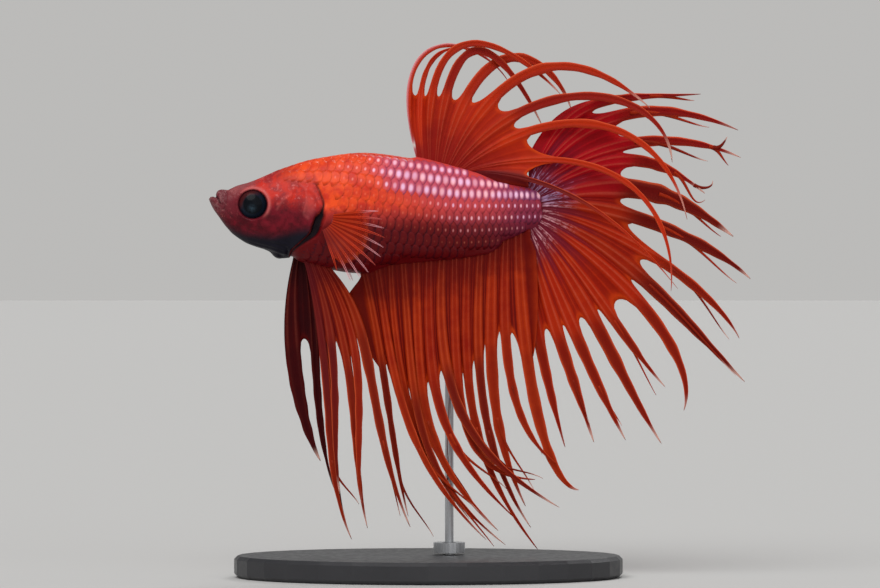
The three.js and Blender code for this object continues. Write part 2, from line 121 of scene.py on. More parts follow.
half_width = through(
    [(0, 0.45), (0.9, 1.25), (2.8, 2.05), (6.2, 2.85), (10, 3.6), (14, 4.1), (19, 4.4)]
    + [(25, 4.0), (31, 3.2), (38, 2.2), (43, 1.35), (45.2, 0.85), (46.4, 0.28)]
)
widest_height = through([(0, 0), (3, -0.9), (8, -2.2), (14, -2.4), (22, -1.9), (46.4, -1.5)])
SQUARENESS = 0.94  # a section is a little fuller than an ellipse
BODY_END = 46.4  # the skin thins out between the roots of the tail's rays
TAIL_ARC = {"z": -1.55, "radius": 5.0, "reach": 4.4, "from": 39, "to": 45.2}  # the stalk's end
NOSE_LENGTH = 0.7  # the snout is rounded over this length
COAT_DEPTH = 0.1  # the skin lies this far inside the solids where scales cover it

# Lines on the head, seen from its side.
MOUTH = [(0.85, 0.28), (1.2, 0.12), (1.42, -0.25), (1.6, -0.7)]
UPPER_LIP = [(1.45, 0.75), (1.6, 0.2), (1.8, -0.5)]
LOWER_LIP = [(0.25, -0.1), (0.8, -0.3), (1.2, -0.9)]
LIP_FOLDS = [
    [(1.95, 0.7), (2.02, 0.0), (1.98, -0.9)],
    [(2.5, 0.8), (2.5, 0.1), (2.4, -0.9), (2.1, -1.7)],
]
JAW_FOLD = [(2.2, -1.6), (3.4, -2.9), (5.2, -4.3), (7.2, -5.1)]
GILL_EDGE = [(13.4, 4.0), (14.6, 2.4), (15.5, 0.6), (15.95, -0.9), (15.6, -1.9), (14.9, -2.6)]
GILL_EDGE += [(14.5, -3.6), (14.1, -4.8), (12.8, -6.1), (11.4, -7.5), (10.9, -9.5)]
gill_opening = through(
    [(-9, 0), (-7.4, 0.1), (-6.6, 0.25), (-5.8, 0.5), (-5.0, 0.85), (-4.2, 1.0), (-3.4, 0.95)]
    + [(-2.6, 0.65), (-1.9, 0.25), (-1.2, 0.1), (0.6, 0.04), (3, 0)]
)
CHEEK_FOLD = [(12.0, 0.9), (11.5, -1.0), (11.0, -3.0), (10.0, -4.7), (8.2, -5.7)]
COVER_RIDGES = [
    [(12.7, 1.9), (13.6, 0.9), (13.7, -0.7), (13.3, -2.2), (13.9, -2.9)],
    [(14.1, 1.2), (15.0, 0.3), (15.4, -0.8)],
    [(9.6, -1.6), (10.4, -0.4), (11.6, 0.4)],
]
GILL_PLATE = (14.1, -1.0)  # the middle of its paler part
UNDER_EYE = [(5.8, -3.5), (7.2, -3.9), (8.6, -3.8)]
THROAT_FOLD = [(4.6, -5.6), (6.6, -6.3), (8.6, -6.8), (10.4, -7.4)]
NOSTRILS = [(3.45, 0.75), (4.3, 0.5)]
beard_line = through([(1.2, -3.0), (2.6, -3.9), (5.7, -4.9), (8.8, -5.2), (13.1, -4.4)])
PECTORAL_BASE = [(16.2, -1.6), (16.7, -2.4), (16.6, -3.1), (16.2, -3.7), (15.6, -4.2)]


def smooth(value, low, high):
    """0 below low, 1 above high, and a soft step between; low may be the larger one."""
    t = np.clip((value - low) / (high - low), 0, 1)
    return t * t * (3 - 2 * t)


def lengths_along(points):
    """How far each of a line's points is along it."""
    return np.append(0, np.cumsum(np.linalg.norm(np.diff(points, axis=0), axis=1)))


def spline(points):
    """A finer line through points, in the same way as through() but in both directions."""
    points = np.array(points, float)
    steps = lengths_along(points)
    fine = np.linspace(0, steps[-1], 12 * (len(points) - 1) + 1)
    return np.stack([through(list(zip(steps, points[:, k])))(fine) for k in (0, 1)], axis=1)


def distance(x, z, line):
    """How far each point is from a line seen from the side, and on which side of it."""
    x, z = np.asarray(x, float), np.asarray(z, float)
    best = np.full(x.shape, 1e9)
    side = np.ones(x.shape)
    for (ax, az), (bx, bz) in zip(line[:-1], line[1:]):
        dx, dz = bx - ax, bz - az
        t = np.clip(((x - ax) * dx + (z - az) * dz) / (dx * dx + dz * dz), 0, 1)
        far = np.hypot(x - ax - t * dx, z - az - t * dz)
        nearer = far < best
        best = np.where(nearer, far, best)
        turn = (x - ax) * dz - (z - az) * dx
        side = np.where(nearer, np.where(turn < 0, 1.0, -1.0), side)
    return best, side


def bell(value, width):
    return np.exp(-((value / width) ** 2))


def near_line(x, z, line, width):
    """1 on a line seen from the side, and less on both sides of it."""
    return bell(distance(x, z, spline(line))[0], width)


GILL_LINE = spline(GILL_EDGE)


def behind_gill(x, z):
    """How far a place is behind the gill cover's edge; below 0 on the cover."""
    far, side = distance(x, z, GILL_LINE)
    return far * side


def section(x, angle):
    """A point of the plain body at length x and an angle from its left side upwards."""
    middle, rise = widest_height(x), np.sin(angle)
    edge = np.where(rise > 0, back(x), belly(x))
    z = middle + np.abs(rise) ** SQUARENESS * (edge - middle)
    y = -half_width(x) * np.cos(angle)
    nose = np.sqrt(np.clip(1 - (1 - np.clip(x / NOSE_LENGTH, 0, 1)) ** 2, 0, 1))
    tip = (back(0) + belly(0)) / 2
    return np.stack([x + 0 * angle, y * nose, tip + (z - tip) * nose], axis=-1)


def to_stalk_end(points):
    """Bends the end of the tail stalk to its arc."""
    radius, reach = TAIL_ARC["radius"], TAIL_ARC["reach"]
    off = np.clip(points[..., 2] - TAIL_ARC["z"], -reach, reach)
    sag = radius - np.sqrt(radius**2 - off**2)
    bent = points.copy()
    bent[..., 0] -= sag * smooth(points[..., 0], TAIL_ARC["from"], TAIL_ARC["to"])
    return bent


def grid_normals(points):
    """Outward normals of a body grid whose rows are stations and whose columns run round."""
    along = np.gradient(points, axis=0)
    around = (np.roll(points, -1, axis=1) - np.roll(points, 1, axis=1)) / 2
    normals = np.cross(along, around)
    return normals / np.maximum(np.linalg.norm(normals, axis=-1, keepdims=True), 1e-9)


# ------------------------------------------------------------------ markings
def marking_masks(places):
    """How much of each of the coat's colours a place on the body has."""
    x, z = places[:, 0], places[:, 2]
    behind = behind_gill(x, z)
    nape = smooth(z, 1.6, 3.2) * smooth(x, 8.5, 13.0)
    head = smooth(behind, 0.2, -0.1) * smooth(x, 17.5, 16.0) * (1 - nape)
    # Darker towards the belly: partly the fish's own colour, partly painted shade as the light
    # comes from above.
    flank = smooth(z, 0.2, -5.2)
    breast = smooth(z, -2.4, -5.0) * smooth(x, 21, 16)
    beard = smooth(z - beard_line(x), 0.9, -0.9) * smooth(x, 1.0, 2.6)
    eye = np.hypot(x - EYE["x"], z - EYE["z"])
    upper_right = smooth((x - EYE["x"]) + (z - EYE["z"]), -1.0, 1.6)
    ridges = sum(near_line(x, z, ridge, 0.2) for ridge in COVER_RIDGES)
    folds = sum(near_line(x, z, fold, 0.13) for fold in LIP_FOLDS)
    plate = np.hypot((x - GILL_PLATE[0]) / 0.95, (z - GILL_PLATE[1]) / 1.8)
    opening = gill_opening(z)
    # Painted shadow darkens the inside of the gill opening and a thin line just behind the cover's
    # edge.
    inside = smooth(behind, -0.04, 0.08) * smooth(behind, opening + 0.3, opening) * (opening > 0.01)
    slit = 0.8 * bell(behind - 0.1, 0.14) * smooth(z, 2.4, 1.2)
    return {
        "head": head,
        "flank": np.maximum(flank, breast) * (1 - head),
        "rosy": smooth(x, 22, 32) * smooth(z - back(np.clip(x, 0, 45)), -10, -5.0) * (1 - head),
        "stalk": smooth(x, 37.5, 44.5) * (1 - head),
        "throat": beard * head,
        "brow": smooth(z + 0.12 * (x - 8), -1.7, 0.7) * smooth(x, 4.6, 7.6) * head,
        "muzzle": smooth(x, 5.4, 2.6) * smooth(z, -3.6, -1.2) * head,
        "lips": smooth(x, 2.7, 2.1) * smooth(z, -2.2, -1.2),
        "snout_top": smooth(x, 2.2, 3.4) * smooth(x, 7.5, 5.5) * smooth(z, -0.6, 1.0),
        "gill_gap_shadow": np.maximum(inside * smooth(z, 1.2, -0.8), slit),
        # Painted shade in the line of the mouth and the folds of the lips.
        "creases": np.clip(near_line(x, z, MOUTH, 0.12) + 0.3 * folds, 0, 1),
        "ridges": np.clip(0.7 * ridges + 0.8 * smooth(plate, 1.15, 0.4), 0, 1) * head,
        "eye_ring": bell(eye - 2.32, 0.22) * upper_right,
        "eye_rim": smooth(eye, 2.12, 1.94),
    }


# ------------------------------------------------------------------ making meshes
def to_frame(points):
    """Fish coordinates in millimetres to the frame's metres."""
    return (np.asarray(points, float).reshape(-1, 3) + SNOUT) * MM


def linked(name, data):
    """A new object for a mesh, lamp or camera, in the scene."""
    obj = bpy.data.objects.new(name, data)
    bpy.context.scene.collection.objects.link(obj)
    return obj


def store(mesh, values, kind="FLOAT", field="value"):
    """Keeps named values for the points of a mesh."""
    for key, numbers in values.items():
        layer = mesh.attributes.new(key, kind, "POINT")
        layer.data.foreach_set(field, np.asarray(numbers, np.float32).ravel())


def read(items, field, width=1, kind=np.float32):
    """One value, or width of them, from each of a mesh's items."""
    numbers = np.empty(width * len(items), kind)
    items.foreach_get(field, numbers)
    return numbers.reshape(-1, width) if width > 1 else numbers


def corner_points(mesh):
    """The number of the point at each face corner."""
    return read(mesh.loops, "vertex_index", kind=np.int32)


def new_object(name, points, faces, values):
    """A mesh object from fish coordinates, faces and named values for its points."""
    mesh = bpy.data.meshes.new(name)
    mesh.from_pydata(to_frame(points).tolist(), [], [tuple(map(int, face)) for face in faces])
    store(mesh, values)
    mesh.shade_smooth()
    return linked(name, mesh)


def closed_tube(rings, tips):
    """Points and faces of a skin over rings of points, closed by a point at either end."""
    rows, sides = rings.shape[:2]
    near = np.arange(sides)
    after = (near + 1) % sides
    faces = []
    for low in sides * np.arange(rows - 1):
        high = low + sides
        faces += np.stack([low + near, high + near, high + after, low + after], axis=1).tolist()
    first_tip, last = rows * sides, (rows - 1) * sides
    faces += [(first_tip, a, b) for a, b in zip(near, after)]
    faces += [(first_tip + 1, last + b, last + a) for a, b in zip(near, after)]
    return np.concatenate([rings.reshape(-1, 3), tips]), faces


def set_map(mesh, places):
    """Lays the UV map of the coat's pieces, with one place for each face corner."""
    layer = mesh.uv_layers.new(name="OFBake")
    layer.data.foreach_set("uv", np.asarray(places, np.float32).ravel())


def piece(obj, material, slot, *nodes):
    """Rides the object on the model, gives it its finish and hides the solids it stands for."""
    obj.data.materials.clear()
    obj.data.materials.append(material)
    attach(obj, "root")
    if nodes:
        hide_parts(*nodes)
    return obj


# ------------------------------------------------------------------ materials
def plug(tree, value, socket):
    """Links another node's output to a socket, or sets the socket to a value."""
    if isinstance(value, bpy.types.NodeSocket):
        tree.links.new(value, socket)
    elif socket.type == "RGBA" and len(value) == 3:
        socket.default_value = (*value, 1)
    else:
        socket.default_value = value


def new_node(tree, kind, inputs=None, **settings):
    """A node with its settings, and with values or other nodes' outputs on its inputs."""
    made = tree.nodes.new(kind)
    for key, value in settings.items():
        setattr(made, key, value)
    for key, value in (inputs or {}).items():
        plug(tree, value, made.inputs[key])
    return made


class Recipe:
    """A material's nodes, with short calls for what the finishes have in common."""

    def __init__(self, name):
        self.material = bpy.data.materials.new(name)
        self.material.use_nodes = True
        self.tree = self.material.node_tree
        self.tree.nodes.clear()
        self.shader = self.node("ShaderNodeBsdfPrincipled")
        self.surface = self.shader.outputs["BSDF"]
        self.output = self.node("ShaderNodeOutputMaterial", {"Surface": self.surface})
        self.object_place = self.node("ShaderNodeTexCoord").outputs["Object"]

    def node(self, kind, inputs=None, **settings):
        return new_node(self.tree, kind, inputs, **settings)

    def calc(self, operation, a, b=0.0, clamp=False):
        made = self.node("ShaderNodeMath", {0: a, 1: b}, operation=operation, use_clamp=clamp)
        return made.outputs[0]

    def times(self, *values):
        result = values[0]
        for value in values[1:]:
            result = self.calc("MULTIPLY", result, value)
        return result

    def step(self, value, low, high, start=0.0, end=1.0):
        """A soft step from start to end as value goes from low to high."""
        if low > high:
            low, high, start, end = high, low, end, start
        inputs = {"Value": value, "From Min": low, "From Max": high, "To Min": start, "To Max": end}
        made = self.node("ShaderNodeMapRange", inputs, interpolation_type="SMOOTHSTEP")
        return made.outputs["Result"]

    def hump(self, value, centre, width):
        """1 at centre, 0 beyond width on either side."""
        off = self.calc("ABSOLUTE", self.calc("SUBTRACT", value, centre))
        return self.step(off, 0.0, width, 1.0, 0.0)

    def mix(self, share, a, b):
        made = self.node("ShaderNodeMix", {"Factor": share, "A": a, "B": b}, data_type="RGBA")
        return made.outputs["Result"]

    def over(self, colour, *layers):
        """Lays colours over a first one; each layer is its share and its colour."""
        for share, layer in layers:
            colour = self.mix(share, colour, layer)
        return colour

    def blend(self, share, a, b):
        """A surface between two others."""
        return self.node("ShaderNodeMixShader", {"Fac": share, 1: a, 2: b}).outputs["Shader"]

    def own(self, name, *parts):
        """A value that the mesh holds for its points, times any other values."""
        value = self.node("ShaderNodeAttribute", attribute_name=name).outputs["Fac"]
        return self.times(value, *parts)

    def noise(self, size, detail=3.0, roughness=0.55, stretch=(1, 1, 1), place=None):
        """Noise from 0 to 1, with blotches about size millimetres across."""
        scale = [share / (size * MM) for share in stretch]
        inputs = {"Vector": place or self.object_place, "Scale": scale}
        inputs = {"Vector": self.node("ShaderNodeMapping", inputs).outputs["Vector"], "Scale": 1.0}
        inputs.update({"Detail": detail, "Roughness": roughness})
        return self.node("ShaderNodeTexNoise", inputs).outputs["Fac"]

    def uneven(self, noise, strength):
        """Noise about 0."""
        return self.times(self.calc("SUBTRACT", noise, 0.5), strength)

    def on_rays(self, size):
        """Noise on a fin, drawn out to five times its size along the rays."""
        inputs = {"X": self.own("length", MM / 5), "Y": self.own("across", MM)}
        inputs["Z"] = self.own("tone", 30 * MM)
        place = self.node("ShaderNodeCombineXYZ", inputs)
        return self.noise(size, 2.0, 0.6, place=place.outputs["Vector"])

    def bump(self, height, depth):
        """Bump from a height of 0 to 1 that stands for depth millimetres."""
        made = self.node("ShaderNodeBump", {"Distance": depth * MM, "Height": height})
        self.set(normal=made.outputs["Normal"])

    def set(self, **values):
        for key, value in values.items():
            name = key.replace("_", " ").title().replace("Ior", "IOR")
            plug(self.tree, value, self.shader.inputs[name])

    def marking_colour(self, colours):
        """The coat's colour at a place, from the masks that its mesh holds."""
        speckle = self.noise(0.5, 4.0, 0.65)
        patches = self.noise(1.6, 3.0, 0.6)
        mottle = self.step(self.calc("ADD", speckle, self.times(patches, 0.5)), 0.82, 0.98)
        # Flank, upper and Flank darken the trunk downwards: partly its own colour, partly painted
        # shade from the light above.
        flank = self.calc("ADD", self.own("flank"), self.uneven(patches, 0.3))
        trunk = self.over(
            self.mix(self.step(patches, 0.35, 0.7), colours.back, colours.back_deep),
            (self.own("rosy", 0.85), colours.rosy),
            (self.step(flank, 0.05, 0.55), colours.flank_upper),
            (self.step(flank, 0.4, 1.0), colours.flank),
            (self.own("stalk", 0.75), colours.stalk),
        )
        brow = self.mix(self.step(patches, 0.38, 0.62), colours.brow, colours.brow_dusky)
        lips = self.mix(self.step(speckle, 0.4, 0.65), colours.muzzle, colours.lips)
        upper = self.calc("MAXIMUM", self.own("brow"), self.own("muzzle"))
        mottled = self.times(mottle, upper, 0.7)
        bare = self.own("snout_top", self.step(patches, 0.3, 0.6, 0.35, 0.8))
        face = self.over(
            self.mix(self.step(patches, 0.35, 0.65), colours.face, colours.face_deep),
            (self.own("muzzle", 0.75), colours.muzzle),
            (self.own("brow", 0.9), brow),
            (mottled, colours.brow_pale),
            (bare, colours.snout_top),
            (self.own("ridges", 0.25), colours.brow_pale),
            (self.own("eye_ring", 0.6), colours.brow_pale),
            (self.own("lips", 0.9), lips),
            (self.own("throat"), colours.throat),
            # Painted shade in the mouth's line and the lips' folds.
            (self.own("creases", 0.8), colours.crease),
            (self.own("eye_rim"), colours.eye_rim),
        )
        # Painted shadow in the gill opening.
        gill = (self.own("gill_gap_shadow"), colours.gill_gap_shadow)
        return self.over(trunk, (self.own("head"), face), gill)


# ------------------------------------------------------------------ skin
SKIN_SIDES = 208
STATIONS = np.concatenate(
    [
        NOSE_LENGTH * (1 - np.cos(np.linspace(0.12, math.pi / 2, 12)))[:-1],
        np.linspace(NOSE_LENGTH, 3.2, 42)[:-1],
        np.linspace(3.2, 17.5, 140)[:-1],
        np.linspace(17.5, BODY_END, 92),
    ]
)
MAP_SHARES = np.linspace(0.01, 0.99, len(STATIONS))  # the stations' places along the coat's map
RELIEF = [  # lines on the head, how far each stands out and its half width
    (MOUTH, -0.2, 0.12),
    (UPPER_LIP, 0.13, 0.3),
    *[(fold, -0.06, 0.14) for fold in LIP_FOLDS],
    (JAW_FOLD, -0.1, 0.18),
    (CHEEK_FOLD, -0.1, 0.18),
    *[(ridge, 0.12, 0.2) for ridge in COVER_RIDGES],
    (UNDER_EYE, 0.08, 0.3),
    (PECTORAL_BASE, 0.25, 0.6),
]


def map_turn(turn):
    """The place across the coat's map of a share of a turn round the body."""
    return 0.005 + 0.99 * turn


def head_relief(x, z):
    """How far the skin stands out from the plain body, in millimetres."""
    rise = sum(height * near_line(x, z, line, width) for line, height, width in RELIEF)
    rise += 0.12 * near_line(x, z, LOWER_LIP, 0.32) * smooth(x, 0.0, 0.35)
    for nostril in NOSTRILS:
        far = np.hypot(x - nostril[0], z - nostril[1])
        rise += 0.14 * bell(far - 0.26, 0.13) - 0.1 * bell(far, 0.12)
    behind, opening = behind_gill(x, z), gill_opening(z)
    lip = 0.2 * bell(np.minimum(behind + 0.15, 0), 0.7) * smooth(behind, 0.12, -0.12)
    deep = 0.12 + 0.6 * smooth(opening, 0.02, 1.1)
    slot = deep * smooth(behind, -0.1, 0.2) * smooth(behind, opening + 0.5, opening + 0.05)
    rise += (lip - slot * smooth(z, -8.4, -7.0)) * smooth(z, 2.6, 1.2)
    folds = np.sin(7.5 * distance(x, z, spline(THROAT_FOLD))[0])
    rise += 0.08 * folds * smooth(z, -5.6, -6.6) * smooth(x, 12.2, 10.8) * smooth(x, 3.6, 5.2)
    return rise


def fin_saddles(x, y):
    """The low ridges of skin that the dorsal and anal fins grow out of."""
    dorsal = smooth(x, 27.6, 29.2) * smooth(x, 40.5, 37.0) * bell(y, 0.55)
    anal = smooth(x, 20.5, 22.3) * smooth(x, 45.5, 43.5) * bell(y, 0.6)
    return dorsal, anal


def skin_points():
    angles = np.linspace(0, 2 * math.pi, SKIN_SIDES, endpoint=False)
    points = section(STATIONS[:, None], angles[None, :])
    x, y, z = points[..., 0], points[..., 1], points[..., 2]
    rise = head_relief(x, z) - COAT_DEPTH * smooth(x, 9, 17)
    dorsal, anal = fin_saddles(x, y)
    upper = np.sin(angles)[None, :] > 0
    rise += 0.4 * dorsal * upper + 0.4 * anal * ~upper
    points = points + grid_normals(points) * rise[..., None]
    far = np.hypot(x - EYE["x"], z - EYE["z"])
    out = np.abs(points[..., 1])
    rim, socket = EYE["edge"] + 0.2, EYE["edge"] - 0.25
    out = out + np.maximum(0, rim - out) * smooth(far, 3.1, 2.05) * smooth(np.abs(y), 0.5, 1.4)
    out = out + 0.11 * bell(far - 2.28, 0.2)
    out = np.where(far < 2.2, out + (socket - out) * smooth(far, 2.1, 1.84), out)
    points[..., 1] = np.where(np.abs(y) > 0.3, np.sign(y) * out, points[..., 1])
    return to_stalk_end(points)


def make_skin(colours):
    rings = skin_points()
    places, faces = closed_tube(rings, [rings[0].mean(axis=0), rings[-1].mean(axis=0)])
    skin = new_object("skin", places, faces, marking_masks(places))
    share = np.append(np.repeat(MAP_SHARES, SKIN_SIDES), [0.0, 1.0])
    turn = np.append(np.tile(np.arange(SKIN_SIDES) / SKIN_SIDES, len(rings)), [0.5, 0.5])
    spots = []
    for face in skin.data.polygons:
        corners = list(face.vertices)
        around = turn[corners]
        if np.ptp(around) > 0.6:  # this face closes its ring
            around = np.where(around < 0.4, around + 1, around)
        spots += zip(share[corners], map_turn(around))
    set_map(skin.data, spots)
    nodes = ["head", "lower_jaw", "throat", "gill_cover_left", "gill_cover_right", "trunk"]
    return piece(skin, skin_material(colours), "head_skin", *nodes, "tail_stalk")


def skin_material(colours):
    look = Recipe("moist skin")
    dots = look.own("brow", look.step(look.noise(0.75, 2.0, 0.55), 0.6, 0.7), 0.5)
    colour = look.mix(dots, look.marking_colour(colours), colours.brow_pale)
    pores = look.noise(0.18, 3.0, 0.6)
    look.set(base_color=colour, coat_weight=0.05, coat_roughness=0.2, specular_ior_level=0.12)
    look.set(roughness=look.step(pores, 0.3, 0.7, 0.36, 0.54))
    look.bump(look.calc("ADD", look.times(pores, 0.5), look.noise(0.8, 2.0)), 0.07)
    return look.material


# ------------------------------------------------------------------ scales
scale_spacing = through([(9, 0.95), (18, 1.2), (30, 1.07), (36, 1.0), (44, 0.82), (46, 0.8)])
row_height = through([(9, 1.45), (19, 1.85), (30, 1.8), (36, 1.72), (42, 1.6), (46, 1.5)])
side_row = through(
    [(9, 2.0), (15, 1.4), (18.7, 1.0), (23.3, 0.3), (29.8, -0.6), (35.8, -1.1), (46, -1.05)]
)
HALF_TURN = np.linspace(math.pi / 2, -math.pi / 2, 361)  # down the left side
SCALE_SIZE = (1.95, 1.62)  # a scale's length and height against its spacing and its row's
SCALE_RISE = {"root": -0.035, "tip": 0.115, "rim": 0.022, "wall": 0.012}  # over the skin, in mm
SCALE_PATCH = 0.0015  # half of a scale's patch on the coat's map


def on_row(x, row):
    """Where a row of scales is at x: its angle, or None off the body, and its distance from
    the back along the skin, with that of the belly."""
    points = section(np.full(len(HALF_TURN), float(x)), HALF_TURN)
    lengths = lengths_along(points)
    side = np.interp(-float(side_row(x)), -points[:, 2], lengths)
    place = side + row * float(row_height(x))
    if place < 0 or place > lengths[-1]:
        return None, place, lengths[-1]
    return float(np.interp(place, lengths, HALF_TURN)), place, lengths[-1]


PEARL_ROWS = {-4: 0.5, -3: 0.8, -2: 1.0, -1: 0.9, 0: 0.34, 1: 0.34, 2: 0.24, 3: 0.16, 4: 0.08}
PEARL_STARTS = {-4: 22, -3: 20, -2: 20.5, -1: 21.5}  # where the upper rows get their shine


def pearl_strength(row, x):
    """How strongly a scale shines: most in the two rows above the side row, from mid-body."""
    if row in PEARL_STARTS:
        start = PEARL_STARTS[row]
        along = 0.24 * smooth(x, 15.5, 17.5) + 0.76 * smooth(x, start, start + 7)
    else:
        along = 0.45 * smooth(x, 17, 20) + 0.55 * smooth(x, 26 + row, 34 + row)
    return float(PEARL_ROWS.get(row, 0.0) * along)


def scale_root(x, place, tailward, outward, turn, size=1.0, pearl=0.0, flat=0.8):
    """What the geometry nodes need to know of one scale; turn is its place round the body."""
    long, tall = SCALE_SIZE[0] * scale_spacing(x), SCALE_SIZE[1] * row_height(x)
    return {
        "place": place,
        "tailward": tailward / np.linalg.norm(tailward),
        "outward": outward / np.linalg.norm(outward),
        "size": (long * size * MM, tall * size * MM, flat),
        "pearl": pearl,
        "share": float(np.interp(x, STATIONS, MAP_SHARES)),
        "turn": turn,
    }


def side_root(x, row, angle):
    """A scale's root on the left side, or None where the skin has no scales."""

    def on_skin(x, angle):
        return to_stalk_end(section(np.array([x]), np.array([angle])))[0]

    here, above = on_skin(x, angle), on_skin(x, angle + 0.02)
    there = on_row(x + 0.15, row)[0]
    ahead = on_skin(x + 0.15, angle if there is None else there)
    behind = float(behind_gill(here[0], here[2]))
    on_head = behind < 0.15 and x < 16.6
    # The cheeks, the gill opening, the breast below it and the pectoral fin's foot are bare.
    if on_head and (here[2] < 2.5 + 0.2 * (13 - here[0]) or x < 9.2):
        return None
    wide = float(gill_opening(here[2] + np.linspace(-0.9, 0.9, 7)).max())
    if behind < wide + (1.75 if -2 < here[2] < 1.6 else 0.95) and here[2] < 2.4 and x < 17.5:
        return None
    if x < 16 and here[2] < -6.2 and behind < 0.8:
        return None
    if distance(here[0], here[2], PECTORAL_BASE)[0] < 0.85:
        return None
    outward = np.cross(ahead - here, above - here)
    return scale_root(
        x,
        here,
        ahead - here,
        outward if outward[1] <= 0 else -outward,
        (angle % (2 * math.pi)) / (2 * math.pi),
        size=0.85 if on_head else 1.0,
        pearl=0.0 if on_head else pearl_strength(row, x),
        flat=float(np.interp(x, [9, 15, 23, 31], [0.25, 0.45, 0.75, 1.0])),
    )


def side_roots():
    """The roots of all scales of the left side."""
    roots = []
    for row in range(-7, 11):
        x = 8.2 + (0.5 if row % 2 else 0.0) * float(scale_spacing(10))
        while x < 46.2:
            angle, place, whole = on_row(x, row)
            tall = float(row_height(x))
            hem = 0.3 * tall if x <= 21 else 1.45 if x < 31 else 1.12
            if angle is not None and place > 0.42 * tall and whole - place > hem:
                roots.append(side_root(x, row, angle))
            x += float(scale_spacing(x))
    return [root for root in roots if root]


def mirrored(root):
    """The same scale on the right side."""
    other = {key: root[key] * [1, -1, 1] for key in ("place", "outward", "tailward")}
    return {**root, **other, "turn": (0.5 - root["turn"]) % 1.0}


def back_row():
    """The single row of scales along the middle of the back, ahead of the dorsal fin."""
    roots, x = [], 8.9
    while x < 27.6:
        here, ahead = section(np.array([x, x + 0.2]), np.full(2, math.pi / 2))
        run = ahead - here
        roots.append(scale_root(x, here, run, np.array([-run[2], 0, run[0]]), 0.25))
        x += float(scale_spacing(x))
    return roots


def scale_shape():
    """One scale, flat: rooted at its front and rounded behind, with its lift as a value."""
    lengths = np.array([-1, -0.3, 0.25, 0.62, 0.87, 1.0])
    widths = np.where(lengths > 0, np.sqrt(np.clip(1 - lengths**2, 0.03, 1)), 1 + 0.3 * lengths)
    across = np.array([-1, -0.5, 0, 0.5, 1])
    tall, wide = len(lengths), len(across)
    p = np.repeat(lengths, wide)
    q = np.tile(across, tall) * np.repeat(widths, wide)
    rim = np.maximum(np.abs(np.tile(across, tall)), np.clip(p, 0, 1)) ** 5
    top = SCALE_RISE["root"] + SCALE_RISE["tip"] * (p + 1) / 2 - SCALE_RISE["rim"] * rim
    sides = [i * wide + j for i in range(tall) for j in (0, wide - 1)]
    points = np.stack([0.5 * p, 0.5 * q, 0 * p], axis=1)
    points = np.concatenate([points, points[sides]]).tolist()
    lift = np.append(top, top[sides] - SCALE_RISE["wall"])
    under, faces = tall * wide, []
    for i in range(tall - 1):
        first, low = i * wide, under + 2 * i
        last, high = first + wide - 1, low + 2
        faces += [(a, a + wide, a + wide + 1, a + 1) for a in range(first, last)]
        faces.append((low, low + 1, high + 1, high))
        faces.append((first, low, high, first + wide))
        faces.append((last, last + wide, high + 1, low + 1))
    end = under + 2 * (tall - 1)
    faces.append((*range(wide), under + 1, under))
    faces.append((*range(under - 1, under - wide - 1, -1), end, end + 1))
    mesh = bpy.data.meshes.new("one_scale")
    mesh.from_pydata(points, [], faces)
    values = {"scale_p": np.append(p, p[sides]), "scale_q": np.append(q, q[sides])}
    store(mesh, {"lift": lift, **values})
    for face in mesh.polygons:
        face.use_smooth = max(face.vertices) < under
    return linked("one_scale", mesh)


def root_cloud(roots):
    """The roots as a mesh of loose points that holds what each scale needs."""
    each = {key: [root[key] for root in roots] for key in roots[0]}
    values = {
        "pearl": each["pearl"],
        "map_u": each["share"],
        "map_v": map_turn(np.array(each["turn"])),
    }
    cloud = new_object("scale_roots", np.array(each["place"]), [], values)
    vectors = {key: each[key] for key in ("outward", "tailward", "size")}
    store(cloud.data, vectors, "FLOAT_VECTOR", "vector")
    return cloud


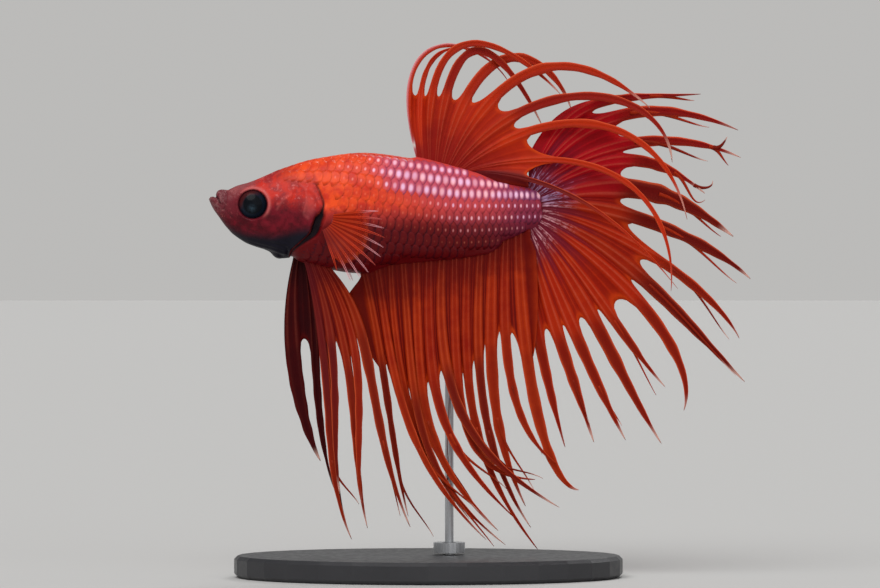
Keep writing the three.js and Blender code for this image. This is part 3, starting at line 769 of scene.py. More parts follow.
def scale_tree():
    """Geometry nodes that root a scale on every point and lay it round the skin."""
    tree = bpy.data.node_groups.new("Lay the scales", "GeometryNodeTree")
    face = tree.interface
    face.new_socket("Geometry", in_out="OUTPUT", socket_type="NodeSocketGeometry")
    face.new_socket("Geometry", in_out="INPUT", socket_type="NodeSocketGeometry")
    sockets = {}
    for name, kind, value in [
        ("Scale", "Object", None),
        ("Skin", "Object", None),
        ("Lift", "Float", 1.0),
        ("Seed", "Int", 7),
        ("Finish", "Material", None),
    ]:
        socket = face.new_socket(name, in_out="INPUT", socket_type="NodeSocket" + kind)
        if value is not None:
            socket.default_value = value
        sockets[name] = socket.identifier

    def out(output, kind, inputs=None, **settings):
        return new_node(tree, kind, inputs, **settings).outputs[output]

    def geometry(kind, inputs, **settings):
        return out("Geometry", "GeometryNode" + kind, inputs, **settings)

    def vector(operation, inputs):
        return out("Vector", "ShaderNodeVectorMath", inputs, operation=operation)

    def named(name, kind="FLOAT_VECTOR"):
        kinds = {"data_type": kind}
        return out("Attribute", "GeometryNodeInputNamedAttribute", {"Name": name}, **kinds)

    def on_skin(value):
        inputs = {"Mesh": skin, "Value": value, "Sample Position": here}
        kinds = {"data_type": "FLOAT_VECTOR"}
        return out("Value", "GeometryNodeSampleNearestSurface", inputs, **kinds)

    start = new_node(tree, "NodeGroupInput").outputs
    scale = geometry("ObjectInfo", {"Object": start["Scale"]})
    skin = geometry("ObjectInfo", {"Object": start["Skin"]})
    axes = {"Primary Axis": named("outward"), "Secondary Axis": named("tailward")}
    kinds = {"primary_axis": "Z", "secondary_axis": "X"}
    turn = out("Rotation", "FunctionNodeAxesToRotation", axes, **kinds)
    inputs = {"Points": start["Geometry"], "Instance": scale}
    inputs.update({"Rotation": turn, "Scale": named("size")})
    laid = out("Instances", "GeometryNodeInstanceOnPoints", inputs)
    tone = out(1, "FunctionNodeRandomValue", {"Seed": start["Seed"]}, data_type="FLOAT")
    inputs = {"Geometry": laid, "Name": "tone", "Value": tone}
    laid = geometry("StoreNamedAttribute", inputs, data_type="FLOAT", domain="INSTANCE")
    laid = geometry("RealizeInstances", {"Geometry": laid})
    here = out("Position", "GeometryNodeInputPosition")
    height = named("lift", "FLOAT")
    flat = out("Z", "ShaderNodeSeparateXYZ", {0: named("size")})
    for factor in (start["Lift"], flat, MM):
        height = out(0, "ShaderNodeMath", {0: height, 1: factor}, operation="MULTIPLY")
    outward = vector("NORMALIZE", {0: on_skin(out("Normal", "GeometryNodeInputNormal"))})
    raised = vector("SCALE", {0: outward, "Scale": height})
    place = vector("ADD", {0: on_skin(here), 1: raised})
    laid = geometry("SetPosition", {"Geometry": laid, "Position": place})
    laid = geometry("SetMaterial", {"Geometry": laid, "Material": start["Finish"]})
    new_node(tree, "NodeGroupOutput", {"Geometry": laid})
    return tree, sockets


def make_scales(sizes, colours):
    left = side_roots()
    cloud = root_cloud(left + [mirrored(root) for root in left] + back_row())
    shape, material = scale_shape(), scale_material(colours)
    tree, sockets = scale_tree()
    layer = cloud.modifiers.new("Scales", "NODES")
    layer.node_group = tree
    layer[sockets["Scale"]] = shape
    layer[sockets["Skin"]] = bpy.data.objects["skin"]
    layer[sockets["Lift"]] = sizes.scale_lift
    layer[sockets["Seed"]] = sizes.seed
    layer[sockets["Finish"]] = material
    bpy.context.view_layer.update()
    evaluated = cloud.evaluated_get(bpy.context.evaluated_depsgraph_get())
    mesh = bpy.data.meshes.new_from_object(evaluated)
    mesh.name = "scales"
    for spare in (cloud, shape):
        bpy.data.objects.remove(spare)
    if len(mesh.polygons) < 1000:
        raise RuntimeError("the scales did not grow on the skin")
    store(mesh, marking_masks(read(mesh.vertices, "co", 3) / MM - SNOUT))
    keys = ("map_u", "map_v", "scale_p", "scale_q")
    u, v, p, q = (read(mesh.attributes[key].data, "value") for key in keys)
    spots = np.stack([u + SCALE_PATCH * p, v + SCALE_PATCH * q], axis=1)
    set_map(mesh, spots[corner_points(mesh)])
    return piece(linked("scales", mesh), material, "scaled_skin")


def scale_material(colours):
    look = Recipe("pearly scales")
    p, q = look.own("scale_p"), look.own("scale_q")
    tone, pearl, flank = look.own("tone"), look.own("pearl"), look.own("flank")

    def square(value):
        return look.calc("POWER", value, 2.0)

    dull = look.times(look.step(tone, 0.0, 1.0, 0.0, 0.18), look.step(flank, 0.4, 0.0))
    lilac = look.mix(look.own("stalk"), colours.lilac, colours.violet)
    pearly = look.times(look.step(pearl, 0.12, 0.8), 0.75)
    rim = look.step(look.calc("ADD", square(p), square(q)), 0.62, 0.98)
    rim = look.times(rim, look.step(p, 0.0, 0.3))
    # Painted shade: each scale's front, where it comes out from under the one ahead, and its rim on
    # the lower flank are darkened.
    dark = look.calc("ADD", look.times(flank, 0.5), look.times(pearl, 0.15))
    seam = look.times(look.step(p, 0.16, -0.05), look.calc("ADD", dark, 0.08))
    shade = look.calc("MAXIMUM", look.times(rim, flank, 0.5), seam)
    # Painted shade: the rear of each shining scale turns violet.
    behind = look.times(look.step(p, 0.5, 0.95), look.step(pearl, 0.2, 0.7), 0.6)
    glow = look.times(rim, look.step(flank, 0.3, 0.0), look.step(pearl, 0.5, 0.1), 0.12)
    colour = look.over(
        look.marking_colour(colours),
        (dull, colours.back_deep),
        (pearly, lilac),
    )
    colour = look.over(
        colour,
        (shade, look.mix(0.85, colour, colours.seam)),
        (behind, colours.violet),
        (glow, colours.spark),
    )
    # The spot is a painted highlight: the scales' pearly sheen, painted into the colour of each
    # scale.
    ahead = look.times(look.calc("SUBTRACT", p, 0.4), 2.0)
    far = look.calc("SQRT", look.calc("ADD", square(ahead), square(look.times(q, 1.6))))
    reach = look.calc("ADD", look.times(pearl, 0.7), 0.17)
    spot = look.calc("POWER", look.step(look.calc("DIVIDE", far, reach), 1.2, 0.3), 1.3)
    some = look.step(look.calc("ADD", tone, look.noise(2.6, 2.0)), 0.35, 1.0, 0.45, 1.0)
    shine = look.times(spot, look.step(pearl, 0.0, 0.45), some)
    cool = look.step(look.noise(2.2, 2.0), 0.35, 0.65)
    tint = look.mix(cool, colours.pearl, colours.pearl_cool)
    tint = look.mix(look.step(pearl, 0.36, 0.12), tint, colours.spark)
    colour = look.mix(look.times(shine, 0.95), colour, tint)
    fine = look.noise(0.14, 2.0, 0.6)
    rough = look.step(look.calc("ADD", fine, look.times(shine, -0.3)), 0.1, 0.8, 0.3, 0.5)
    look.set(base_color=colour, coat_weight=0.06, coat_roughness=0.2, specular_ior_level=0.14)
    look.set(roughness=rough)
    rings = look.calc("SINE", look.times(far, 46.0))
    look.bump(look.calc("ADD", look.times(rings, 0.08), fine), 0.015)
    return look.material


# ------------------------------------------------------------------ eyes
EYE_SIDES = 72


def make_eyes(colours):
    material = eye_material(colours)
    radius, edge, front = EYE["radius"], EYE["edge"], EYE["front"]
    ball = (radius**2 + (front - edge) ** 2) / (2 * (front - edge))
    dome = np.linspace(0, math.asin(min(1, radius / ball)), 26)
    rear = np.linspace(0.12, math.pi / 2, 12)
    reach = np.concatenate([ball * np.sin(dome), radius * np.cos(rear)])
    out = front - ball + ball * np.cos(dome)
    out = np.concatenate([out, edge - EYE["behind"] * np.sin(rear)])
    turns = np.arange(EYE_SIDES) * 2 * math.pi / EYE_SIDES
    for name, side in (("eye_left", -1), ("eye_right", 1)):
        x = EYE["x"] + reach[:, None] * np.cos(turns)
        z = EYE["z"] + reach[:, None] * np.sin(turns)
        rings = np.stack([x, side * out[:, None] + 0 * x, z], axis=-1)[1:-1]
        points, faces = closed_tube(rings, [(EYE["x"], side * y, EYE["z"]) for y in out[[0, -1]]])
        if side > 0:
            faces = [tuple(reversed(face)) for face in faces]
        right, up = points[:, 0] - EYE["x"], points[:, 2] - EYE["z"]
        values = {
            "from_middle": np.hypot(right, up) / radius,
            "up_left": smooth(up - 0.8 * right, 0.2, 1.8),
            # A painted reflection, low in the middle of the eye.
            "reflection": bell(np.hypot(right + 0.1, up + 0.55), 0.42),
        }
        piece(new_object(name + "ball", points, faces, values), material, "eye", name)


def eye_material(colours):
    look = Recipe("dark wet eye")
    far = look.own("from_middle")
    streaks = look.noise(0.3, 3.0)
    warm = look.own("up_left", look.step(far, 0.55, 0.8), look.step(streaks, 0.2, 0.6, 0.6, 1.0))
    iris = look.mix(streaks, colours.iris, colours.iris_deep)
    colour = look.over(
        colours.pupil,
        (look.step(far, 0.6, 0.74), look.mix(warm, iris, colours.iris_warm)),
        # Painted reflection, blue-grey.
        (look.own("reflection", look.step(streaks, 0.2, 0.7), 0.8), colours.iris_glint),
        (look.step(far, 0.9, 1.0), colours.iris_edge),
    )
    look.set(base_color=colour, coat_weight=0.16, coat_roughness=0.03, coat_ior=1.33)
    look.set(roughness=0.35, specular_ior_level=0.05)
    look.bump(streaks, 0.012)
    return look.material


# ------------------------------------------------------------------ fins
def direction(degrees):
    return np.array([math.cos(math.radians(degrees)), 0, math.sin(math.radians(degrees))])


RAY_KEYS = ("start", "tip", "end", "y", "web", "pull", "wide")
RAY_LEAN = 0.25  # how soon a ray leans out to its tip's side


def grown(root, numbers):
    """A ray from a fin's table, with its centreline as the four points of a cubic curve."""
    ray, root = dict(zip(RAY_KEYS, numbers)), np.array(root, float)
    tip = np.array([ray["tip"][0], ray["y"], ray["tip"][1]])
    reach = math.hypot(tip[0] - root[0], tip[2] - root[2])
    leave = root + direction(ray["start"]) * ray["pull"][0] * reach
    leave[1] += RAY_LEAN * (ray["y"] - root[1])
    arrive = tip - direction(ray["end"]) * ray["pull"][1] * reach
    return {**ray, "curve": np.array([root, leave, arrive, tip])}


def along_curve(curve, share):
    """Places on a curve; below 0 it runs straight on into the body."""
    t = np.clip(share, 0, 1)[:, None]
    a, b, c, d = curve
    places = a * (1 - t) ** 3 + 3 * b * t * (1 - t) ** 2 + 3 * c * t**2 * (1 - t) + d * t**3
    below = np.clip(share, None, 0)[:, None]
    start = (b - a) / np.linalg.norm(b - a)
    return places + start * below


def headings(curve, share):
    t = np.clip(share, 0, 1)[:, None]
    a, b, c, d = curve
    way = 3 * ((b - a) * (1 - t) ** 2 + 2 * (c - b) * t * (1 - t) + (d - c) * t**2)
    return way / np.linalg.norm(way, axis=1, keepdims=True)


# A row of a fin's table is one ray: the angle at which it leaves the body, its tip from the
# side, the angle at which it arrives there, its tip's y, the share of it that the membrane
# reaches, how far its angles hold at both ends, and its width against the fin's widths.
DORSAL = {
    "widths": (0.2, 0.62, 0.24),
    "notch": 0.16,
    "rays": [
        (104, (41.9, 15.9), -62, 2.6, 0.21, (1.26, 0.5), 0.55),
        (97, (36.7, 20.9), -12, 3.4, 0.4, (0.55, 0.45), 0.6),
        (93, (48.8, 14.5), -50, -0.2, 0.16, (1.34, 0.22), 0.85),
        (85, (46.3, 10.2), -65, 1, 0.16, (1.75, 0.45), 1),
        (76, (50.4, 12.6), -75, 3.4, 0.18, (1.2, 0.34), 1.2),
        (64, (61.2, 12.5), -42, -1.9, 0.23, (0.74, 0.34), 1.2),
        (52, (64.2, 4.9), -86, -3.6, 0.24, (0.6, 0.37), 1.1),
        (38, (66.3, -3), -78, -2.8, 0.23, (0.53, 0.47), 1),
        (14, (64, -12.9), -95, -4.2, 0.2, (0.73, 0.29), 0.7),
        (-2, (64.9, -12.6), -52, -5.2, 0.2, (0.4, 0.33), 0.5),
    ],
}
CAUDAL = {
    "root": {"x": 40.2, "z": TAIL_ARC["z"], "radius": 5.45, "from": 38, "to": -46},
    "widths": (0.16, 0.85, 0.3),
    "notch": 0.12,
    "rays": [
        (68, (68.4, 14.5), 3, 0.3, 0.5, (0.54, 0.5), 0.8),
        (60, (73.6, 9.5), -24, 0.9, 0.48, (0.47, 0.38), 1),
        (46, (74, 5.7), -25, 1.4, 0.5, (0.38, 0.33), 0.9),
        (36, (69, 0.7), -40, 1.2, 0.55, (0.5, 0.4), 1),
        (17, (72.9, -5.3), -38, 0.5, 0.38, (0.5, 0.35), 1.6),
        (8, (75.3, -11.2), -45, 0.8, 0.4, (0.33, 0.22), 1.1),
        (-8, (73.8, -19.5), -65, 1.3, 0.5, (0.33, 0.22), 0.8),
        (-17, (74.5, -25.5), -45, 0.7, 0.48, (0.33, 0.33), 1.1),
        (-28, (66, -29.5), -108, 0, 0.48, (0.34, 0.25), 1),
        (-42, (63.4, -26.2), -48, 0.5, 0.6, (0.33, 0.33), 0.8),
        (-50, (62.9, -34.1), -58, 0.8, 0.46, (0.33, 0.33), 1.1),
        (-66, (57.9, -33.6), -62, 0.4, 0.48, (0.35, 0.3), 1),
        (-76, (53.5, -33.9), -72, 0.1, 0.5, (0.33, 0.33), 1),
        (-86, (49.5, -34.6), -74, 0.3, 0.5, (0.33, 0.33), 0.9),
    ],
}
ANAL = {
    "widths": (0.5, 0.68, 0.3),
    "notch": 0.1,
    "rays": [
        (-77, (27.7, -44.2), -76, -0.5, 0.34, (0.4, 0.3), 0.75),
        (-82, (38.5, -47.3), -44, -2.4, 0.4, (0.4, 0.4), 0.8),
        (-88, (36.2, -44.6), -52, 0.5, 0.4, (0.5, 0.3), 0.7),
        (-86, (41.2, -48.1), -38, -1.4, 0.38, (0.5, 0.4), 0.8),
        (-89, (40.2, -46.2), -44, 0, 0.4, (0.5, 0.4), 1),
        (-91, (42.3, -44.2), -44, -1.6, 0.4, (0.5, 0.4), 1),
        (-93, (48.6, -42.8), -30, -3.2, 0.34, (0.5, 0.4), 1),
        (-90, (45.3, -39), -2, -1.8, 0.36, (0.6, 0.34), 0.9),
        (-92, (45.7, -48.8), -52, 0, 0.38, (0.4, 0.4), 0.9),
        (-93, (44.7, -45.7), -56, -0.8, 0.36, (0.4, 0.34), 0.9),
        (-92, (44, -42.8), -64, 0.2, 0.34, (0.4, 0.34), 1.2),
        (-92, (48.4, -37), -36, -1.2, 0.34, (0.4, 0.3), 1),
        (-89, (51.4, -40.5), -5, -0.5, 0.32, (0.5, 0.13), 1.2),
    ],
}
VENTRAL_NEAR = {
    "widths": (0.25, 0.72, 0.3),
    "notch": 0.14,
    "rays": [
        (-75, (19.9, -47.2), -66, -3.4, 0.28, (0.45, 0.3), 0.8),
        (-70, (18.3, -40.9), -80, -4.2, 0.3, (0.42, 0.3), 0.8),
        (-66, (22.1, -45.7), -76, -3.2, 0.36, (0.4, 0.3), 0.8),
        (-60, (21.4, -42.7), -80, -4.4, 0.36, (0.42, 0.3), 0.8),
        (-52, (28, -45.5), -66, -3.6, 0.3, (0.27, 0.4), 1),
    ],
}
VENTRAL_FAR = {
    "widths": (0.25, 0.6, 0.25),
    "notch": 0.14,
    "rays": [
        (-101, (15.4, -36.6), -62, 3.2, 0.43, (0.3, 0.26), 1.8),
        (-80, (17.3, -40.5), -72, 3.9, 0.38, (0.33, 0.33), 1),
        (-74, (19, -45.3), -72, 3.3, 0.32, (0.4, 0.3), 1),
    ],
}
PECTORAL = {
    "count": 11,
    "root": {"x": 15.2, "z": -2.5, "radius": 1.5, "out": 4.8},
    "angles": (4, -70),
    "lengths": [(0, 7), (0.35, 8.5), (0.6, 9.1), (0.93, 8.5), (1, 6.6)],
    "outwards": 22,
    "web": 0.75,
}
CLEAR = 0.45  # from the plain body to the roots of the fins' solids


def evenly(count):
    """Shares from 0 to 1 for a number of rays."""
    return [i / (count - 1) for i in range(count)]


def rooted(fin, roots, height, y=0.0):
    """A fin's rays, rooted evenly between two places along the body."""
    places = [roots[0] + (roots[1] - roots[0]) * share for share in evenly(len(fin["rays"]))]
    return [grown((x, y, float(height(x))), ray) for x, ray in zip(places, fin["rays"])]


def caudal_rays():
    root, rays = CAUDAL["root"], []
    for share, ray in zip(evenly(len(CAUDAL["rays"])), CAUDAL["rays"]):
        way = direction(root["from"] + (root["to"] - root["from"]) * share)
        rays.append(grown(np.array([root["x"], 0, root["z"]]) + way * root["radius"], ray))
    return rays


def pectoral_rays(side):
    root, angles = PECTORAL["root"], PECTORAL["angles"]
    long_at = through(PECTORAL["lengths"])
    lean = math.tan(math.radians(PECTORAL["outwards"]))
    rays = []
    for share in evenly(PECTORAL["count"]):
        angle = angles[0] + (angles[1] - angles[0]) * share
        length = float(long_at(share))
        place = np.array([root["x"], side * root["out"], root["z"]])
        place = place + direction(angle) * root["radius"]
        tip = place + direction(angle) * length
        y = side * (root["out"] + length * lean)
        ray = (angle, (tip[0], tip[2]), angle - 6, y, PECTORAL["web"], (0.33, 0.33), 1)
        rays.append(grown(place, ray))
    return rays


ROOT_ROWS, WEB_ROWS, FREE_ROWS = 3, 18, 30
STRAND = np.array([-1, -0.8, -0.55, -0.25, 0.0, 0.25, 0.55, 0.8, 1])  # places across a ray
RIDGES = bell(STRAND - 0.62, 0.24) + bell(STRAND + 0.62, 0.24)  # its two ribs
BANDS = bell(STRAND - 0.6, 0.45) + bell(STRAND + 0.6, 0.45)  # and the brighter bands over them
EDGES = smooth(np.abs(STRAND), 0.6, 1.0)
FOLD = 1 - 0.35 * bell(STRAND, 0.4)  # a free strand's middle is duller, painted shade along it
NUB_AT = 1.5  # the pale nub on the dorsal fin's first ray, from its root
LIGHT_SIDE = np.array([-0.45, 0.0, 0.9])  # the edges of strands turned this way are brighter
FLAP_COLUMNS = 4
FIN_VALUES = ("ridge", "share", "length", "strand", "hem", "tone")
FIN_VALUES += ("stripe", "lit", "across", "leading", "shade")


def sideways(run):
    """Unit vectors across runs seen from the side."""
    across = np.stack([run[:, 2], 0 * run[:, 0], -run[:, 0]], axis=1)
    return across / np.linalg.norm(across, axis=1, keepdims=True)


class FinSheet:
    """The middle surface of a fin, made column by column: points, faces, finish values.

    look holds sunk, how deep the rays are rooted; web_columns; ridge and sheet, the half
    thickness of rays and membrane; pleat, how far the membrane bellies out between rays;
    taper, the share of a strand that narrows to its tip; and shading, how sharply the
    shade value rises towards the last ray.
    """

    def __init__(self, rays, fin, look):
        self.rays, self.fin, self.look = rays, fin, look
        self.points, self.thick, self.faces = [], [], []
        self.values = {key: [] for key in (*FIN_VALUES, "map_u", "map_v")}
        self.chance = np.random.default_rng(look["seed"])
        self.rows = ROOT_ROWS + WEB_ROWS + FREE_ROWS
        self.step = len(STRAND) + look["web_columns"]  # map columns from one ray to the next
        self.columns = len(rays) * self.step + 2 * FLAP_COLUMNS
        self.ribbons = [self.ribbon(i, ray) for i, ray in enumerate(rays)]
        for i in range(1, len(rays)):
            self.web(i)

    def add(self, places, half, columns, **known):
        """Adds rows of points with their places on the map, and returns their numbers."""
        first, shape = len(self.points), places.shape[:2]
        self.points.extend(places.reshape(-1, 3))
        self.thick.extend(np.broadcast_to(half, shape).ravel())
        known["map_u"] = (FLAP_COLUMNS + columns + 0.5) / self.columns
        known["map_v"] = ((np.arange(shape[0]) + 0.5) / (self.rows + 1))[:, None]
        for key, values in self.values.items():
            values.extend(np.broadcast_to(known.get(key, 0.0), shape).ravel())
        return first + np.arange(shape[0] * shape[1]).reshape(shape)

    def quads(self, *columns):
        """Faces between columns of points of the same length."""
        for before, after in zip(columns, columns[1:]):
            self.faces += zip(before, after, after[1:], before[1:])

    def edge(self, number, column):
        """One edge of a ribbon, as far as its web reaches: the numbers of its points, and them."""
        edge = self.ribbons[number]["numbers"][: ROOT_ROWS + WEB_ROWS + 1, column]
        return edge, np.array([self.points[k] for k in edge])

    def ribbon(self, i, ray):
        """A ray, from its sunk root to its tip."""
        look, web = self.look, ray["web"]
        sunk = -np.linspace(look["sunk"], 0, ROOT_ROWS + 1)[:-1]
        shares = np.concatenate(
            [sunk, np.linspace(0, web, WEB_ROWS + 1), np.linspace(web, 1, FREE_ROWS + 1)[1:]]
        )
        centre = along_curve(ray["curve"], shares)[:, None]
        across = sideways(headings(ray["curve"], shares))
        lit = (across @ LIGHT_SIDE)[:, None]
        wide = through(list(zip((0, web, 1), self.fin["widths"])))
        taper = np.clip((1 - shares) / look["taper"], 0, 1) ** 0.55
        phase = self.chance.uniform(0, 2 * math.pi, 3)
        ragged = sum(np.sin(shares * f + a) for f, a in zip((19, 31, 53), phase)) / 3
        ragged = 1 + look["ragged"] * ragged * smooth(shares, web, web + 0.2)
        half = wide(np.clip(shares, 0, 1)) * ray["wide"] * (0.12 + 0.88 * taper) * ragged
        half = half[:, None]
        lengths = (lengths_along(centre[:, 0]) - look["sunk"])[:, None]
        tone = self.chance.random()
        free = smooth(shares, web * 0.7, web * 1.2)[:, None]
        body = look["sheet"] + (look["ridge"] - look["sheet"]) * RIDGES
        body = body * (0.45 + 0.55 * taper)[:, None]
        body = body * (1 + 0.9 * smooth(shares, web * 0.5, 0))[:, None]
        pale = np.maximum(smooth(-STRAND, -0.2, 0.8), bell(lengths - NUB_AT, 0.8))
        numbers = self.add(
            centre + across[:, None] * (STRAND * half)[..., None],
            np.minimum(body, 0.05 + 0.45 * half),
            i * self.step + np.arange(len(STRAND)),
            ridge=RIDGES,
            share=np.maximum(0, shares)[:, None],
            length=lengths,
            strand=free,
            hem=EDGES * free,
            tone=tone,
            stripe=BANDS * (1 - free) + FOLD * free,
            lit=STRAND * lit * free,
            across=STRAND * half,
            leading=pale if i == 0 else 0.0,
            shade=(i / (len(self.rays) - 1)) ** look["shading"],
        )
        self.quads(*numbers.T)
        return {"numbers": numbers, "shares": shares, "tone": tone}

    def web(self, i):
        """The membrane between two rays, notched between them and pleated to one side."""
        look, count = self.look, self.look["web_columns"]
        pair = self.ribbons[i - 1], self.ribbons[i]
        left, right = self.edge(i - 1, -1), self.edge(i, 0)
        width = float(np.linalg.norm(left[1][-1] - right[1][-1]))
        a = np.arange(1, count + 1) / (count + 1)
        arch = np.sqrt(1 - (2 * a - 1) ** 2)
        fine = bell((a - 0.5) * width, 0.12) * (width > 0.9)  # a thin line in a wide web
        rows = len(left[0])
        plain = ((np.arange(rows) - ROOT_ROWS) / WEB_ROWS)[:, None]
        level = np.maximum(0, plain * (1 - self.fin["notch"] * arch * plain**2))
        ends = []
        for ray, ribbon, edge in zip(self.rays[i - 1 :], pair, (left, right)):
            known = ribbon["shares"][:rows]
            share = np.where(plain > 0, ray["web"] * level, known[:, None])
            ends.append(np.stack([np.interp(share, known, axis) for axis in edge[1].T], axis=-1))
        places = ends[0] * (1 - a)[:, None] + ends[1] * a[:, None]
        near = np.minimum(1, np.linalg.norm(ends[0] - ends[1], axis=-1))
        places[..., 1] += look["pleat"] * near * arch * level**0.5
        hem = smooth(plain, 0.84, 1.0)
        half = look["sheet"] * (1 + 0.9 * smooth(level, 0.5, 0)) * (1 - 0.3 * hem)
        numbers = self.add(
            places,
            half + (look["ridge"] - look["sheet"]) * 0.5 * fine,
            (i - 1) * self.step + len(STRAND) + np.arange(count),
            ridge=0.5 * fine * (1 - hem),
            share=level * self.rays[i]["web"],
            length=level * 10,
            hem=hem,
            tone=(pair[0]["tone"] + pair[1]["tone"]) / 2,
            stripe=0.4 * fine,
            shade=((i - 1 + a) / (len(self.rays) - 1)) ** look["shading"],
        )
        self.quads(left[0], *numbers.T, right[0])

    def flap(self, first, reach):
        """A flap of membrane beside the first or last ray; reach(level, place) is its far edge."""
        edge, places = self.edge(0, 0) if first else self.edge(len(self.rays) - 1, -1)
        levels = np.maximum(0, (np.arange(len(edge)) - ROOT_ROWS) / WEB_ROWS)
        far = np.array([reach(level, place) for level, place in zip(levels, places)])
        j = np.arange(1, FLAP_COLUMNS + 1)
        a = j / FLAP_COLUMNS
        last = (len(self.rays) - 1) * self.step + len(STRAND) - 1
        known = {key: [[self.values[key][k]] for k in edge] for key in ("share", "length", "tone")}
        known.update({"across": 2.0 + a, "hem": 0.5 * a, "shade": 1.0})
        places = places[:, None] * (1 - a)[:, None] + far[:, None] * a[:, None]
        numbers = self.add(places, self.look["sheet"], -j if first else last + j, **known)
        self.quads(*([*numbers.T[::-1], edge] if first else [edge, *numbers.T]))


def thicken(name, sheet):
    """A closed fin from its middle surface: front, back and a wall along its free edges."""
    points, thick, faces = map(np.array, (sheet.points, sheet.thick, sheet.faces))
    values = sheet.values
    normals = np.zeros_like(points)
    corners = points[faces]
    face_normals = np.cross(corners[:, 2] - corners[:, 0], corners[:, 3] - corners[:, 1])
    for k in range(4):
        np.add.at(normals, faces[:, k], face_normals)
    normals /= np.maximum(np.linalg.norm(normals, axis=1, keepdims=True), 1e-12)
    count = len(points)
    step = normals * thick[:, None]
    both = np.concatenate([points + step, points - step])
    edges = np.concatenate([faces[:, [k, (k + 1) % 4]] for k in range(4)])
    known = set(map(tuple, edges.tolist()))
    walls = [(a, count + a, count + b, b) for a, b in edges.tolist() if (b, a) not in known]
    sheets = faces.tolist() + (faces[:, ::-1] + count).tolist() + walls
    floats = {key: np.tile(values[key], 2) for key in FIN_VALUES}
    floats["upper"] = smooth(both[:, 2], -3.5, 3.5)
    obj = new_object(name, both, sheets, floats)
    u, v = np.array(values["map_u"]), np.array(values["map_v"])
    spots = np.concatenate([np.stack([0.495 * u, v], 1), np.stack([0.505 + 0.49 * u, v], 1)])
    order = corner_points(obj.data)
    places = spots[order]
    aside = [0.0004, 0]  # the walls lie beside the front's edge on the map
    for start in range(4 * 2 * len(faces), len(order), 4):
        front, other = spots[order[start] % count], spots[order[start + 3] % count]
        places[start : start + 4] = [front, front + aside, other + aside, other]
    set_map(obj.data, places)
    return obj


THREAD_ROWS, THREAD_SIDES = 22, 8


def threads(name, rays, table, seed):
    """Fine side strands as closed tapering tubes.

    Each line of the table is the number of the ray that it leaves, the share of that ray
    where it does, its tip seen from the side, how far it swings sideways, its radius, and
    for a hook the angle at which its tip points.
    """
    points, faces, spots = [], [], []
    values = {key: [] for key in FIN_VALUES}
    chance = np.random.default_rng(seed)
    rows, sides = THREAD_ROWS, THREAD_SIDES
    shares, turns = np.linspace(0, 1, rows), 2 * math.pi * np.arange(sides) / sides
    right, up = np.cos(turns), np.sin(turns)[:, None]
    for number, (ray, leave, tip, swing, thick, *hook) in enumerate(table):
        curve, leave = rays[ray]["curve"], np.array([leave])
        start, way = along_curve(curve, leave)[0], headings(curve, leave)[0]
        end = np.array([tip[0], start[1] + swing, tip[1]])
        reach = np.linalg.norm(end - start)
        lean = (end - start) / reach
        arrive = direction(hook[0]) * 0.45 if hook else (lean * 0.7 + way * 0.1) * 0.35
        line = np.array([start, start + way * reach * 0.4, end - arrive * reach, end])
        run = headings(line, shares)
        across = sideways(run)
        upward = np.cross(run, across)[:, None]
        radius = (thick * (1 - shares) ** 0.8 + 0.03)[:, None]
        flat = across[:, None] * right[:, None] + 0.5 * upward * up
        first = len(points)
        rings = along_curve(line, shares)[:, None] + flat * radius[..., None]
        points.extend(rings.reshape(-1, 3))
        known = {"share": (0.6 + 0.4 * shares)[:, None], "length": (9 + 9 * shares)[:, None]}
        known.update({"ridge": 0.5, "strand": 1, "hem": 0.3, "stripe": 0.8})
        known.update({"tone": chance.random(), "across": right * radius})
        known["lit"] = right * (across @ LIGHT_SIDE)[:, None]
        for key in FIN_VALUES:
            values[key].extend(np.broadcast_to(known.get(key, 0.0), (rows, sides)).ravel())
        u = (number + 0.5 - 0.4 * right) / len(table)
        spots.extend((a, 0.02 + 0.95 * share) for share in shares for a in u)
        for low in first + sides * np.arange(rows - 1):
            for k in range(sides):
                after, high = (k + 1) % sides, low + sides
                faces.append((low + k, low + after, high + after, high + k))
        last = first + sides * (rows - 1)
        faces += [range(first + sides - 1, first - 1, -1), range(last, last + sides)]
    obj = new_object(name, points, faces, values)
    set_map(obj.data, np.array(spots)[corner_points(obj.data)])
    return obj


FIN_FINISH = {
    "stripes": 0.3,  # how much brighter the bands over the rays are than the membrane
    "lines": 0.2,  # how much the rays' own lines show
    "dark_until": 0.15,  # the share of a ray where the deep base colour ends
    "tip_from": 0.9,  # where its pale tip starts
    "glitter": 0,  # the silver at the base
    "clear": 0,  # how glassy the membrane gets towards its hem
    "leading": 0,  # how much paler the first ray's edge is
    "groove_shade": 0.3,  # how dark the painted shade down a strand's middle is
    "shade": 0,  # how much deeper the last ray and the flaps are
}


